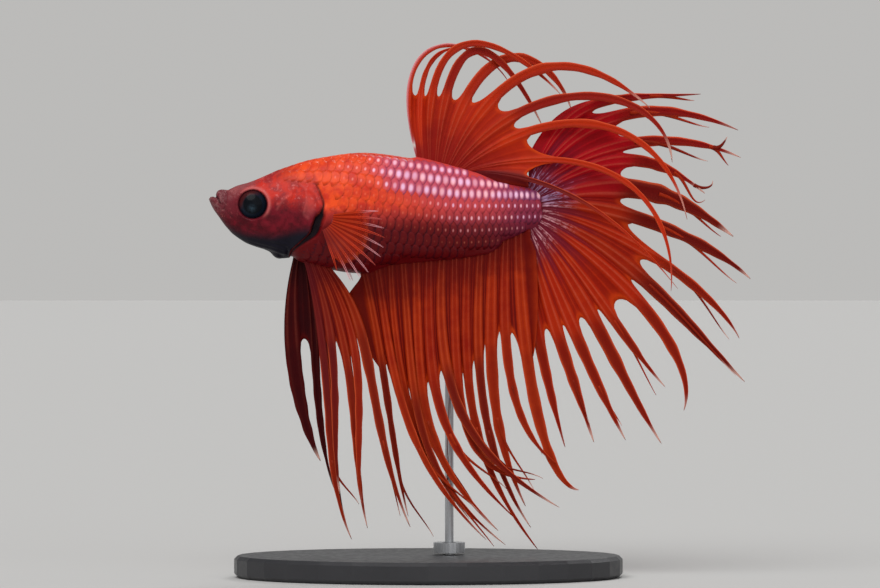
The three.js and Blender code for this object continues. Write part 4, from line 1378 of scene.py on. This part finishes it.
def fin_material(name, palette, **changes):
    """A moist fin: deep at its base, bright towards its hem, with fine segmented rays."""
    finish = {**FIN_FINISH, **changes}
    stripes, tip_from, clear = finish["stripes"], finish["tip_from"], finish["clear"]
    look = Recipe(name)
    share, ridge, strand = look.own("share"), look.own("ridge"), look.own("strand")
    tone, length, hem = look.own("tone"), look.own("length"), look.own("hem")
    upper, stripe, lit = look.own("upper"), look.own("stripe"), look.own("lit")
    blotch = look.noise(2.4, 3.0, 0.6)
    fine = look.noise(0.3, 3.0, 0.6)
    band = look.times(stripe, stripes, look.step(tone, -0.4, 0.8))
    bright = look.calc("MAXIMUM", look.times(hem, 0.8), band)
    bright = look.calc("ADD", bright, look.uneven(blotch, 0.7), clamp=True)
    scarlet = look.times(look.step(upper, 0.3, 0.9), look.step(strand, 1.0, 0.3))
    between = look.times(look.step(stripe, 0.45, 0.0), look.step(hem, 0.7, 0.0), stripes)
    near = look.calc("ADD", share, look.uneven(blotch, 0.12))
    deep = look.times(look.step(tone, 0.3, 0.8), look.step(strand, 0.0, 1.0, 0.25, 0.8))
    line = look.times(look.step(ridge, 0.35, 0.95), look.step(fine, 0.2, 0.6, 0.5, 1.0))
    line = look.times(line, finish["lines"], look.step(strand, 0.0, 1.0, 1.0, 0.35))
    # Painted shade down the middle of each strand.
    middle = look.times(look.step(strand, 0.3, 1.0), look.step(hem, 0.6, 0.0), finish["groove_shade"])
    colour = look.over(
        look.mix(look.step(upper, 0.2, 0.8), palette["sheet"], palette["crimson"]),
        (bright, look.mix(scarlet, palette["bright"], palette["bright_up"])),
        (between, palette["base"]),
        (look.step(near, finish["dark_until"], 0.0, 0.0, 0.85), palette["base"]),
        (deep, palette["base"]),
        (line, palette["ray"]),
        # Painted shade on the side of each strand turned away from the light.
        (look.step(lit, 0.15, -0.8, 0.0, 0.55), palette["base"]),
        (middle, palette["base"]),
    )
    if finish["shade"]:
        last = look.own("shade", look.step(hem, 0.9, 0.1, 0.3, 1.0), finish["shade"])
        last = look.times(last, look.step(share, 0.7, 0.3, 0.15, 1.0))
        colour = look.mix(last, colour, palette["last_ray"])
    # Strand edges are lighter: partly their own colour, partly painted highlight on the side turned
    # to the light.
    rim = look.times(strand, look.step(hem, 0.2, 0.9), look.step(lit, -0.9, 0.6, 0.25, 0.9))
    colour = look.mix(rim, colour, palette["rim"])
    tip = look.step(share, tip_from, tip_from + 0.8 * (1 - tip_from))
    tip = look.times(tip, look.step(tone, 0.05, 0.4), 0.9)
    if clear:
        tip = look.times(tip, look.step(ridge, 0.1, 0.5))
    if finish["leading"]:
        edge = look.own("leading", finish["leading"])
        nub = look.times(edge, look.hump(length, NUB_AT, 0.7))
        edge = (look.times(edge, 0.55), palette["pale_edge"])
        colour = look.over(colour, edge, (nub, palette["nub"]))
    colour = look.mix(tip, colour, palette["tip"])
    rough = look.step(fine, 0.25, 0.75, 0.38, 0.56)
    if finish["glitter"]:
        flakes = look.step(look.on_rays(0.13), 0.44, 0.6)
        reach = look.calc("DIVIDE", length, look.calc("ADD", 2.6, look.times(tone, 3.2)))
        grain = look.step(look.on_rays(0.3), 0.4, 0.6)
        solid = look.times(look.step(reach, 0.7, 0.15), grain, 0.9)
        broad = look.step(look.calc("ADD", stripe, look.times(upper, 0.15)), 0.25, 0.7)
        silver = look.times(look.step(reach, 1.25, 0.2), broad)
        silver = look.times(silver, look.calc("MAXIMUM", solid, flakes), finish["glitter"])
        silver = look.times(silver, look.step(length, 0.2, 1.6, 0.35, 1.0))
        above = look.step(upper, 0.15, 0.5)
        colour = look.over(
            colour,
            (look.times(look.step(length, 6.5, 1.5), 0.8), palette["violet"]),
            (silver, look.mix(above, palette["silver_low"], palette["silver"])),
        )
        rough = look.calc("SUBTRACT", rough, look.times(silver, 0.12))
    look.set(base_color=colour, roughness=rough, specular_ior_level=0.1)
    joints = look.calc("SINE", look.times(length, 18.0))
    look.bump(look.calc("ADD", look.times(joints, ridge, 0.3), fine), 0.02)
    shining = look.node("ShaderNodeBsdfTranslucent", {"Color": colour}).outputs["BSDF"]
    surface = look.blend(0.3, look.surface, shining)
    if clear:
        glassy = look.node("ShaderNodeBsdfTransparent").outputs["BSDF"]
        window = look.times(look.step(share, 0.36, 0.8), look.step(ridge, 0.75, 0.2), clear)
        surface = look.blend(window, surface, glassy)
    plug(look.tree, surface, look.output.inputs["Surface"])
    return look.material


def fin_look(sizes, seed, **changes):
    look = {
        "sunk": 1.3,
        "web_columns": 7,
        "ridge": sizes.ray_thickness / 2,
        "sheet": sizes.membrane_thickness / 2,
        "pleat": 0.16,
        "shading": 60,
        "taper": 0.3,
        "ragged": 0.16,
        "seed": seed,
    }
    return {**look, **changes}


def make_fin(name, rays, fin, look, material, slot, node, *flaps):
    """One fin; each flap is whether it is on the first ray, and its far edge."""
    sheet = FinSheet(rays, fin, look)
    for flap in flaps:
        sheet.flap(*flap)
    return piece(thicken(name, sheet), material, slot, node)


def palette_of(colours, **changes):
    """The colours of one fin's finish; changes holds those that differ from most fins'."""
    usual = {
        "base": colours.fin_base,
        "sheet": colours.fin,
        "bright": colours.fin_bright,
        "ray": colours.fin_ray,
        "tip": colours.fin_tip,
        "rim": colours.fin_rim_and_highlight,
        "pale_edge": colours.pearl,
        "nub": colours.fin_nub,
        "last_ray": colours.fin_last,
        "violet": colours.stalk,
        "silver": colours.silver,
        "silver_low": colours.pearl,
    }
    palette = {**usual, **changes}
    return {"crimson": palette["sheet"], "bright_up": palette["bright"], **palette}


def up_the_tail(level, place):
    """From the tail fin's first ray forwards and up, behind the dorsal fin's last strands."""
    out = 1.7 * float(smooth(level, -0.02, 0.2)) * (1 - level**2)
    return place + [-0.8 * out, 0.3 * float(smooth(level, 0.0, 0.2)), 0.5 * out]


def ahead_of_anal(level, place):
    """The anal fin's front edge, which swings forward behind the pelvic fins."""
    return place + [-2.8 * float(smooth(level, -0.05, 0.25)) * (1 - level**2.5), 0.0, 0.0]


def to_back(level, place):
    """Down to the back from the dorsal fin's last ray, as far as the tail's first one."""
    x = 37.3 + 7.6 * level
    low = np.array([x, 0.0, float(back(x)) - 0.3])
    return low + (place - low) * float(smooth(level, 0.94, 1.0))


def over_tail(level, place):
    """From the anal fin's last ray over the edge of the tail fin."""
    start = float(smooth(level, -0.1, 0.15))
    out = (0.7 + 1.1 * start) * (1 - level**3)
    return place + [out, -0.35 - 0.4 * start, 0.25 * out]


SIDE_STRANDS = {
    "caudal": [
        (0, 0.8, (67.5, 13.6), 0.5, 0.3),
        (1, 0.52, (69.6, 9.9), 0.5, 0.34),
        (2, 0.86, (72.1, 8.6), -0.3, 0.32, 62),
        (2, 0.84, (72.3, 4.6), 0.4, 0.3, -48),
        (2, 0.5, (69.4, 5.2), 0.5, 0.34),
        (3, 0.93, (70.1, 2.5), 0.3, 0.26, 95),
        (3, 0.8, (69.0, -0.2), -0.3, 0.24, 40),
        (4, 0.55, (71.2, -5.3), 0.6, 0.3),
        (5, 0.5, (73.4, -11.8), 0.5, 0.26),
        (6, 0.55, (72.4, -19.6), 0.5, 0.2),
        (7, 0.5, (73.2, -24.6), -0.5, 0.2),
        (9, 0.6, (62.2, -27.4), 0.5, 0.18),
        (11, 0.72, (57.4, -31.6), 0.4, 0.17),
        (12, 0.7, (52.9, -31.4), -0.4, 0.17),
    ],
    "anal": [
        (12, 0.8, (31.2, -47.0), 0.3, 0.15),
        (11, 0.62, (37.6, -43.6), 0.6, 0.24),
        (10, 0.55, (34.4, -42.8), 0.8, 0.26),
        (9, 0.7, (39.6, -48.3), -0.5, 0.2),
        (8, 0.5, (37.2, -43.2), 0.8, 0.26),
        (7, 0.6, (41.4, -40.4), 0.5, 0.24),
        (5, 0.62, (46.4, -38.9), 0.5, 0.2),
        (4, 0.55, (42.6, -38.6), 0.9, 0.24),
        (3, 0.6, (43.2, -43.4), 0.6, 0.22),
        (2, 0.62, (45.2, -40.6), -0.5, 0.2),
        (1, 0.55, (46.3, -35.6), 0.5, 0.18),
    ],
    "ventral": [
        (4, 0.66, (20.9, -42.4), 0.4, 0.18),
        (2, 0.62, (21.2, -38.4), -0.5, 0.2),
        (0, 0.7, (26.6, -44.0), 0.4, 0.17),
    ],
}


def make_median_fins(sizes, colours):
    rosy = palette_of(colours, base=colours.fin_rosy)
    finish = {"tip_from": 0.85, "leading": 1, "groove_shade": 0.12, "shade": 0.8}
    soft = fin_material("dorsal fin membrane", rosy, **finish)
    rays = rooted(DORSAL, (28.8, 37.2), lambda x: back(x) + CLEAR)
    look = fin_look(sizes, 11)
    make_fin("dorsal", rays, DORSAL, look, soft, "fin", "dorsal_fin", (False, to_back))
    crimson = {"sheet": colours.fin_tail, "crimson": colours.fin_crimson}
    crimson = palette_of(colours, **crimson, bright_up=colours.fin_scarlet)
    finish = {"stripes": 0.35, "lines": 0.25, "dark_until": 0.1, "glitter": 0.8, "groove_shade": 0.6}
    soft = fin_material("tail fin membrane", crimson, **finish)
    rays = caudal_rays()
    look = fin_look(sizes, 23, sunk=1.6)
    make_fin("caudal", rays, CAUDAL, look, soft, "fin", "caudal_fin", (True, up_the_tail))
    piece(threads("caudal_side_strands", rays, SIDE_STRANDS["caudal"], 2), soft, "fin")
    finish = {"stripes": 0.8, "lines": 0.12, "dark_until": 0.14}
    deep = palette_of(colours, sheet=colours.fin_deep)
    soft = fin_material("anal fin membrane", deep, **finish)
    rays = rooted(ANAL, (21.7, 43), lambda x: belly(x) - CLEAR)[::-1]
    look, flaps = fin_look(sizes, 5, web_columns=5), [(True, over_tail), (False, ahead_of_anal)]
    make_fin("anal", rays, ANAL, look, soft, "fin", "anal_fin", *flaps)
    piece(threads("anal_side_strands", rays, SIDE_STRANDS["anal"], 4), soft, "fin")


def make_paired_fins(sizes, colours):
    duller = tuple(0.75 * value for value in colours.fin_bright)
    deep = palette_of(colours, sheet=colours.fin_deep, bright=duller)
    finish = {"stripes": 0.75, "lines": 0.15, "dark_until": 0.1, "shade": 0.75}
    near = fin_material("pelvic fin membrane", deep, **finish)
    rays = rooted(VENTRAL_NEAR, (13.7, 17.4), lambda x: belly(x) - CLEAR, -1.1)[::-1]
    look = fin_look(sizes, 3, shading=2)
    make_fin("ventral_near", rays, VENTRAL_NEAR, look, near, "fin", "ventral_fin_left")
    piece(threads("ventral_side_strands", rays, SIDE_STRANDS["ventral"], 6), near, "fin")
    # Painted shade: the far pelvic fin lies in the body's shadow, so its colours, bright bands and
    # edges are all dark.
    lights = {"bright": colours.fin_base, "rim": colours.fin_base}
    dark = palette_of(colours, base=colours.dark_fin, sheet=colours.dark_fin, **lights)
    finish = {"stripes": 0.5, "lines": 0.1, "dark_until": 0.2}
    far = fin_material("shaded pelvic fin membrane", dark, **finish)
    rays = rooted(VENTRAL_FAR, (12, 15), lambda x: belly(x) - CLEAR, 1.1)[::-1]
    look = fin_look(sizes, 3)
    make_fin("ventral_far", rays, VENTRAL_FAR, look, far, "dark_fin", "ventral_fin_right")
    light = palette_of(colours, tip=colours.pearl)
    finish = {"stripes": 0.5, "lines": 0.25, "dark_until": 0.02, "tip_from": 0.58}
    finish.update({"clear": 0.9, "groove_shade": 0, "shade": 0.75})
    soft = fin_material("pectoral fin membrane", light, **finish)
    fan = {"widths": (0.05, 0.17, 0.17), "notch": 0.06}
    thin = {"ridge": 0.07, "sheet": 0.04, "pleat": 0.06, "ragged": 0.05}
    look = fin_look(sizes, 31, web_columns=5, sunk=0.15, shading=2, **thin)
    for side, name in ((-1, "left"), (1, "right")):
        rays, node = pectoral_rays(side), f"pectoral_fin_{name}"
        obj = make_fin(f"pectoral_{name}", rays, fan, look, soft, "clear_fin", node)
        root_in(obj, side)


def root_in(obj, side):
    """Draws the root of a pectoral fin in to the body's side."""
    places = read(obj.data.vertices, "co", 3, float)
    x, _, z = (places / MM - SNOUT).T
    root = PECTORAL["root"]
    far = np.hypot(x - root["x"], z - root["z"]) - root["radius"]
    places[:, 1] -= side * smooth(far, 3.6, -0.4) * MM
    obj.data.vertices.foreach_set("co", places.ravel())
    obj.data.update()


# ------------------------------------------------------------------ stand
def make_stand(colours):
    paint = Recipe("satin paint")
    peel = paint.noise(0.9, 3.0)
    worn = paint.times(paint.noise(9.0), 0.5)
    paint.set(base_color=paint.mix(worn, colours.base_paint, colours.base_worn))
    paint.set(roughness=paint.step(peel, 0.3, 0.7, 0.34, 0.46), specular_ior_level=0.45)
    paint.bump(peel, 0.02)
    steel = Recipe("drawn steel")
    streak = steel.noise(0.5, 3.0, 0.6, stretch=(1, 1, 0.02))
    steel.set(base_color=steel.mix(streak, colours.steel, colours.steel_dark))
    steel.set(metallic=1.0, roughness=steel.step(streak, 0.3, 0.7, 0.24, 0.42))
    steel.bump(streak, 0.01)
    for name, look in (("stand_base", paint), ("stand_collar", steel), ("stand_rod", steel)):
        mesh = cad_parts[name].data
        mesh.materials.clear()
        mesh.materials.append(look.material)
        mesh.shade_smooth()
        mesh.set_sharp_from_angle(angle=math.radians(30))


# ------------------------------------------------------------------ stage
VIEW = {"width": 119.24, "middle": (32.11, -12.2), "distance": 620.0, "closeness": 0.975}
VIEW.update({"shift": -0.009, "clip": (0.05, 20.0)})
SENSOR = 36.0
FLOOR_RADIUS, FLOOR_DROP = 12.0, 0.00005
HORIZON = (0.07, 0.4)  # the room goes from its lower to its upper colour between these heights
LAMPS = [  # name, turn round the model, height, softness in degrees, and power
    ("key", -112, 52, 50, 2.2),
    ("fill", -60, 20, 60, 0.45),
    ("back", 66, 42, 24, 0.8),
]


def make_floor(colours):
    look = Recipe("pale floor")
    look.set(base_color=colours.floor, roughness=0.9, specular_ior_level=0.2)
    shape = {"vertices": 96, "radius": FLOOR_RADIUS, "fill_type": "NGON"}
    bpy.ops.mesh.primitive_circle_add(**shape)
    floor = bpy.context.object
    floor.name = "floor"
    floor.location.z = CAD_BOX[0].z - FLOOR_DROP
    floor.data.materials.append(look.material)


def make_room(colours, light):
    world = bpy.data.worlds.new("soft room")
    world.use_nodes = True
    tree = world.node_tree
    place = new_node(tree, "ShaderNodeTexCoord").outputs["Generated"]
    height = new_node(tree, "ShaderNodeSeparateXYZ", {0: place}).outputs["Z"]
    inputs = {"Value": height, "From Min": HORIZON[0], "From Max": HORIZON[1]}
    rise = new_node(tree, "ShaderNodeMapRange", inputs, interpolation_type="SMOOTHSTEP")
    inputs = {"Factor": rise.outputs["Result"], "A": colours.room_low, "B": colours.room_high}
    shade = new_node(tree, "ShaderNodeMix", inputs, data_type="RGBA")
    sky = tree.nodes["Background"]
    plug(tree, shade.outputs["Result"], sky.inputs["Color"])
    plug(tree, light, sky.inputs["Strength"])
    bpy.context.scene.world = world


def make_stage(colours, light):
    make_floor(colours)
    make_room(colours, light)
    for name, turn, up, soft, power in LAMPS:
        lamp = bpy.data.lights.new(name, "SUN")
        lamp.angle = math.radians(soft)
        lamp.energy = power * light
        a, b = math.radians(turn), math.radians(up)
        way = Vector((math.cos(a) * math.cos(b), math.sin(a) * math.cos(b), math.sin(b)))
        linked(name, lamp).rotation_euler = (-way).to_track_quat("-Z", "Y").to_euler()
    camera = bpy.data.cameras.new("camera")
    camera.sensor_width = SENSOR
    camera.lens = SENSOR * VIEW["distance"] * VIEW["closeness"] / VIEW["width"]
    camera.shift_y = VIEW["shift"]
    camera.clip_start, camera.clip_end = VIEW["clip"]
    place = to_frame([(VIEW["middle"][0], 0, VIEW["middle"][1])])[0]
    obj = linked("camera", camera)
    obj.location = (place[0], place[1] - VIEW["distance"] * MM, place[2])
    obj.rotation_euler = (math.radians(90), 0, 0)
    scene = bpy.context.scene
    scene.camera = obj
    scene.view_settings.view_transform = "Standard"
    scene.view_settings.look = "None"


# ------------------------------------------------------------------ the add-on
def tint(name, description, value):
    """A property for a colour."""
    known = {"name": name, "description": description, "default": value}
    return FloatVectorProperty(**known, subtype="COLOR", size=3, min=0, max=1)


class FishSizes(bpy.types.PropertyGroup):
    scale_lift: FloatProperty(
        name="Scale lift",
        description="How far the scales stand out, against the usual",
        default=1.0,
    )
    ray_thickness: FloatProperty(
        name="Ray thickness", description="Thickness of a fin ray in millimetres", default=0.3
    )
    membrane_thickness: FloatProperty(
        name="Membrane thickness",
        description="Thickness of a fin between its rays in millimetres",
        default=0.12,
    )
    seed: IntProperty(name="Seed", description="Picks the scales' chance tones", default=7)
    light: FloatProperty(name="Light", description="Strength of the studio light", default=1.0)


class FishColours(bpy.types.PropertyGroup):
    back: tint("Back", "Upper flank behind the head", (0.9, 0.08, 0.014))
    back_deep: tint("Back, deep", "Deeper patches of the back", (0.62, 0.03, 0.012))
    # Flank, upper and Flank: partly the fish's own colour, partly painted shade on its lower side.
    rosy: tint("Rosy back", "Rear of the back under the pearly scales", (0.56, 0.05, 0.055))
    flank_upper: tint("Flank, upper", "Red between the back and the flank", (0.42, 0.028, 0.022))
    flank: tint("Flank", "Lower flank", (0.13, 0.0016, 0.0034))
    stalk: tint("Tail stalk", "Violet red of the tail stalk", (0.17, 0.01, 0.034))
    face: tint("Face", "Cheeks and gill covers", (0.17, 0.005, 0.014))
    face_deep: tint("Face, deep", "Darker patches of the face", (0.075, 0.002, 0.007))
    brow: tint("Brow", "Top of the head", (0.64, 0.028, 0.014))
    brow_dusky: tint("Brow, dusky", "Duller patches of the brow", (0.36, 0.024, 0.026))
    brow_pale: tint("Brow, pale", "Pale mottling of the head", (0.66, 0.15, 0.14))
    snout_top: tint("Snout, top", "Greyish pink between lips and brow", (0.33, 0.08, 0.085))
    muzzle: tint("Muzzle", "Snout", (0.15, 0.02, 0.029))
    lips: tint("Lips", "Grey-pink lips", (0.24, 0.09, 0.095))
    throat: tint("Throat", "Blue-black beard", (0.006, 0.005, 0.012))
    # Painted shade in the mouth's line and the lips' folds.
    crease: tint("Creases", "Line of the mouth and folds of the lips", (0.03, 0.003, 0.006))
    eye_rim: tint("Eye's rim", "Skin round the eye", (0.06, 0.008, 0.014))
    # Painted shadow inside the gill opening.
    gill_gap_shadow: tint("Gill opening", "Inside of the gill opening", (0.008, 0.003, 0.006))
    # Painted shade where the scales overlap.
    seam: tint("Scale seams", "Dark edges between the scales", (0.02, 0.001, 0.01))
    lilac: tint("Lilac", "Shade between the pearly scales", (0.6, 0.1, 0.17))
    # Violet is also painted as shade on the rear of the shining scales.
    violet: tint("Violet", "The same shade on the tail stalk", (0.24, 0.05, 0.15))
    # Pearl and Pearl, cool paint the scales' highlights, their pearly sheen; Pearl is also the pale
    # colour of some fin edges and tips.
    pearl: tint("Pearl", "Warm shine of the scales", (1.0, 0.5, 0.56))
    pearl_cool: tint("Pearl, cool", "Cool shine of the scales", (0.92, 0.54, 0.78))
    spark: tint("Spark", "Small warm lights on the front scales", (1.0, 0.26, 0.13))
    silver: tint("Silver", "Lavender streaks of the tail fin", (0.66, 0.45, 0.78))
    pupil: tint("Pupil", "The eye's middle", (0.0025, 0.0035, 0.006))
    iris: tint("Iris", "The eye's dark ring", (0.01, 0.018, 0.032))
    iris_deep: tint("Iris, deep", "Darker streaks of the iris", (0.005, 0.008, 0.016))
    iris_warm: tint("Iris, warm", "Brown-red upper part of the iris", (0.06, 0.008, 0.008))
    iris_edge: tint("Iris, edge", "Outer edge of the eye", (0.04, 0.005, 0.01))
    # A painted reflection in the eye.
    iris_glint: tint("Iris glint", "Blue-grey haze in the eye", (0.045, 0.08, 0.11))
    fin: tint("Fin", "Membrane of the dorsal fin", (0.64, 0.034, 0.005))
    fin_tail: tint("Fin, tail", "Lower part of the tail fin", (0.5, 0.018, 0.002))
    fin_deep: tint("Fin, deep", "Membrane of the anal and pelvic fins", (0.36, 0.012, 0.002))
    fin_base: tint("Fin base", "Deep red near the body", (0.15, 0.003, 0.002))
    fin_bright: tint("Fin, bright", "Orange parts of the fins", (0.76, 0.075, 0.006))
    fin_rosy: tint("Fin base, rosy", "Root and folds of the dorsal fin", (0.3, 0.008, 0.007))
    fin_crimson: tint("Tail fin", "Upper part of the tail", (0.52, 0.001, 0.01))
    fin_scarlet: tint("Tail fin, bright", "Brighter bands of the same part", (0.6, 0.012, 0.01))
    fin_ray: tint("Ray", "Lighter lines of the rays", (0.85, 0.2, 0.12))
    # Lighter strand edges: partly their own colour, partly painted highlight.
    fin_rim_and_highlight: tint("Strand edge", "Lighter edges of the strands", (0.82, 0.12, 0.04))
    fin_last: tint("Last ray", "Deep red of the last ray and the flaps", (0.11, 0.006, 0.012))
    fin_nub: tint("Nub", "Pale nub at the foot of the first ray", (0.8, 0.72, 0.68))
    fin_tip: tint("Ray tip", "Pale tips of the rays", (0.82, 0.5, 0.42))
    # Painted shade of the far pelvic fin, which lies in the body's shadow.
    dark_fin: tint("Dark fin", "The far pelvic fin", (0.045, 0.001, 0.003))
    base_paint: tint("Stand paint", "Paint of the stand's base", (0.02, 0.02, 0.023))
    base_worn: tint("Stand paint, worn", "Paler patches of the paint", (0.045, 0.045, 0.05))
    steel: tint("Steel", "Rod and collar", (0.55, 0.56, 0.58))
    steel_dark: tint("Steel, dark", "Darker streaks of the steel", (0.36, 0.37, 0.39))
    room_low: tint("Room, low", "The room's light from near the floor", (0.5, 0.495, 0.485))
    room_high: tint("Room, high", "The room's light from above", (0.2, 0.2, 0.2))
    floor: tint("Floor", "Studio floor", (0.55, 0.545, 0.535))


def sizes_of(context):
    return context.scene.fish_sizes


def colours_of(context):
    """The colours as plain tuples."""
    keys, group = FishColours.__annotations__, context.scene.fish_colours
    return SimpleNamespace(**{key: tuple(getattr(group, key)) for key in keys})


class FISH_OT_skin(bpy.types.Operator):
    """Makes the skin of head, trunk and tail stalk in one piece"""

    bl_idname = "fish.skin"
    bl_label = "Skin"

    def execute(self, context):
        make_skin(colours_of(context))
        return {"FINISHED"}


class FISH_OT_scales(bpy.types.Operator):
    """Lays the scales over the skin"""

    bl_idname = "fish.scales"
    bl_label = "Scales"

    def execute(self, context):
        make_scales(sizes_of(context), colours_of(context))
        return {"FINISHED"}


class FISH_OT_eyes(bpy.types.Operator):
    """Makes both eyes"""

    bl_idname = "fish.eyes"
    bl_label = "Eyes"

    def execute(self, context):
        make_eyes(colours_of(context))
        return {"FINISHED"}


class FISH_OT_median_fins(bpy.types.Operator):
    """Makes the dorsal, tail and anal fins"""

    bl_idname = "fish.median_fins"
    bl_label = "Dorsal, tail and anal fins"

    def execute(self, context):
        make_median_fins(sizes_of(context), colours_of(context))
        return {"FINISHED"}


class FISH_OT_paired_fins(bpy.types.Operator):
    """Makes the pectoral and pelvic fins"""

    bl_idname = "fish.paired_fins"
    bl_label = "Pectoral and pelvic fins"

    def execute(self, context):
        make_paired_fins(sizes_of(context), colours_of(context))
        return {"FINISHED"}


class FISH_OT_stand(bpy.types.Operator):
    """Finishes the base, collar and rod of the stand"""

    bl_idname = "fish.stand"
    bl_label = "Stand"

    def execute(self, context):
        make_stand(colours_of(context))
        return {"FINISHED"}


class FISH_OT_stage(bpy.types.Operator):
    """Sets the floor, the lights and the camera"""

    bl_idname = "fish.stage"
    bl_label = "Stage"

    def execute(self, context):
        make_stage(colours_of(context), sizes_of(context).light)
        return {"FINISHED"}


OPERATORS = [
    FISH_OT_skin,
    FISH_OT_scales,
    FISH_OT_eyes,
    FISH_OT_median_fins,
    FISH_OT_paired_fins,
    FISH_OT_stand,
    FISH_OT_stage,
]


class FISH_PT_panel(bpy.types.Panel):
    bl_label = "Crowntail fighting fish"
    bl_idname = "FISH_PT_panel"
    bl_space_type = "VIEW_3D"
    bl_region_type = "UI"
    bl_category = "Fish"

    def draw(self, context):
        for operator in OPERATORS:
            self.layout.operator(operator.bl_idname)
        for group in (context.scene.fish_sizes, context.scene.fish_colours):
            for key in type(group).__annotations__:
                self.layout.prop(group, key)


CLASSES = [FishSizes, FishColours, *OPERATORS, FISH_PT_panel]


def register():
    for made in CLASSES:
        bpy.utils.register_class(made)
    bpy.types.Scene.fish_sizes = PointerProperty(type=FishSizes)
    bpy.types.Scene.fish_colours = PointerProperty(type=FishColours)


def unregister():
    del bpy.types.Scene.fish_colours
    del bpy.types.Scene.fish_sizes
    for made in reversed(CLASSES):
        bpy.utils.unregister_class(made)


def main():
    register()
    bpy.ops.fish.stage()
    bpy.ops.fish.skin()
    bpy.ops.fish.scales()
    bpy.ops.fish.eyes()
    bpy.ops.fish.median_fins()
    bpy.ops.fish.paired_fins()
    bpy.ops.fish.stand()


if __name__ == "__main__":
    main()
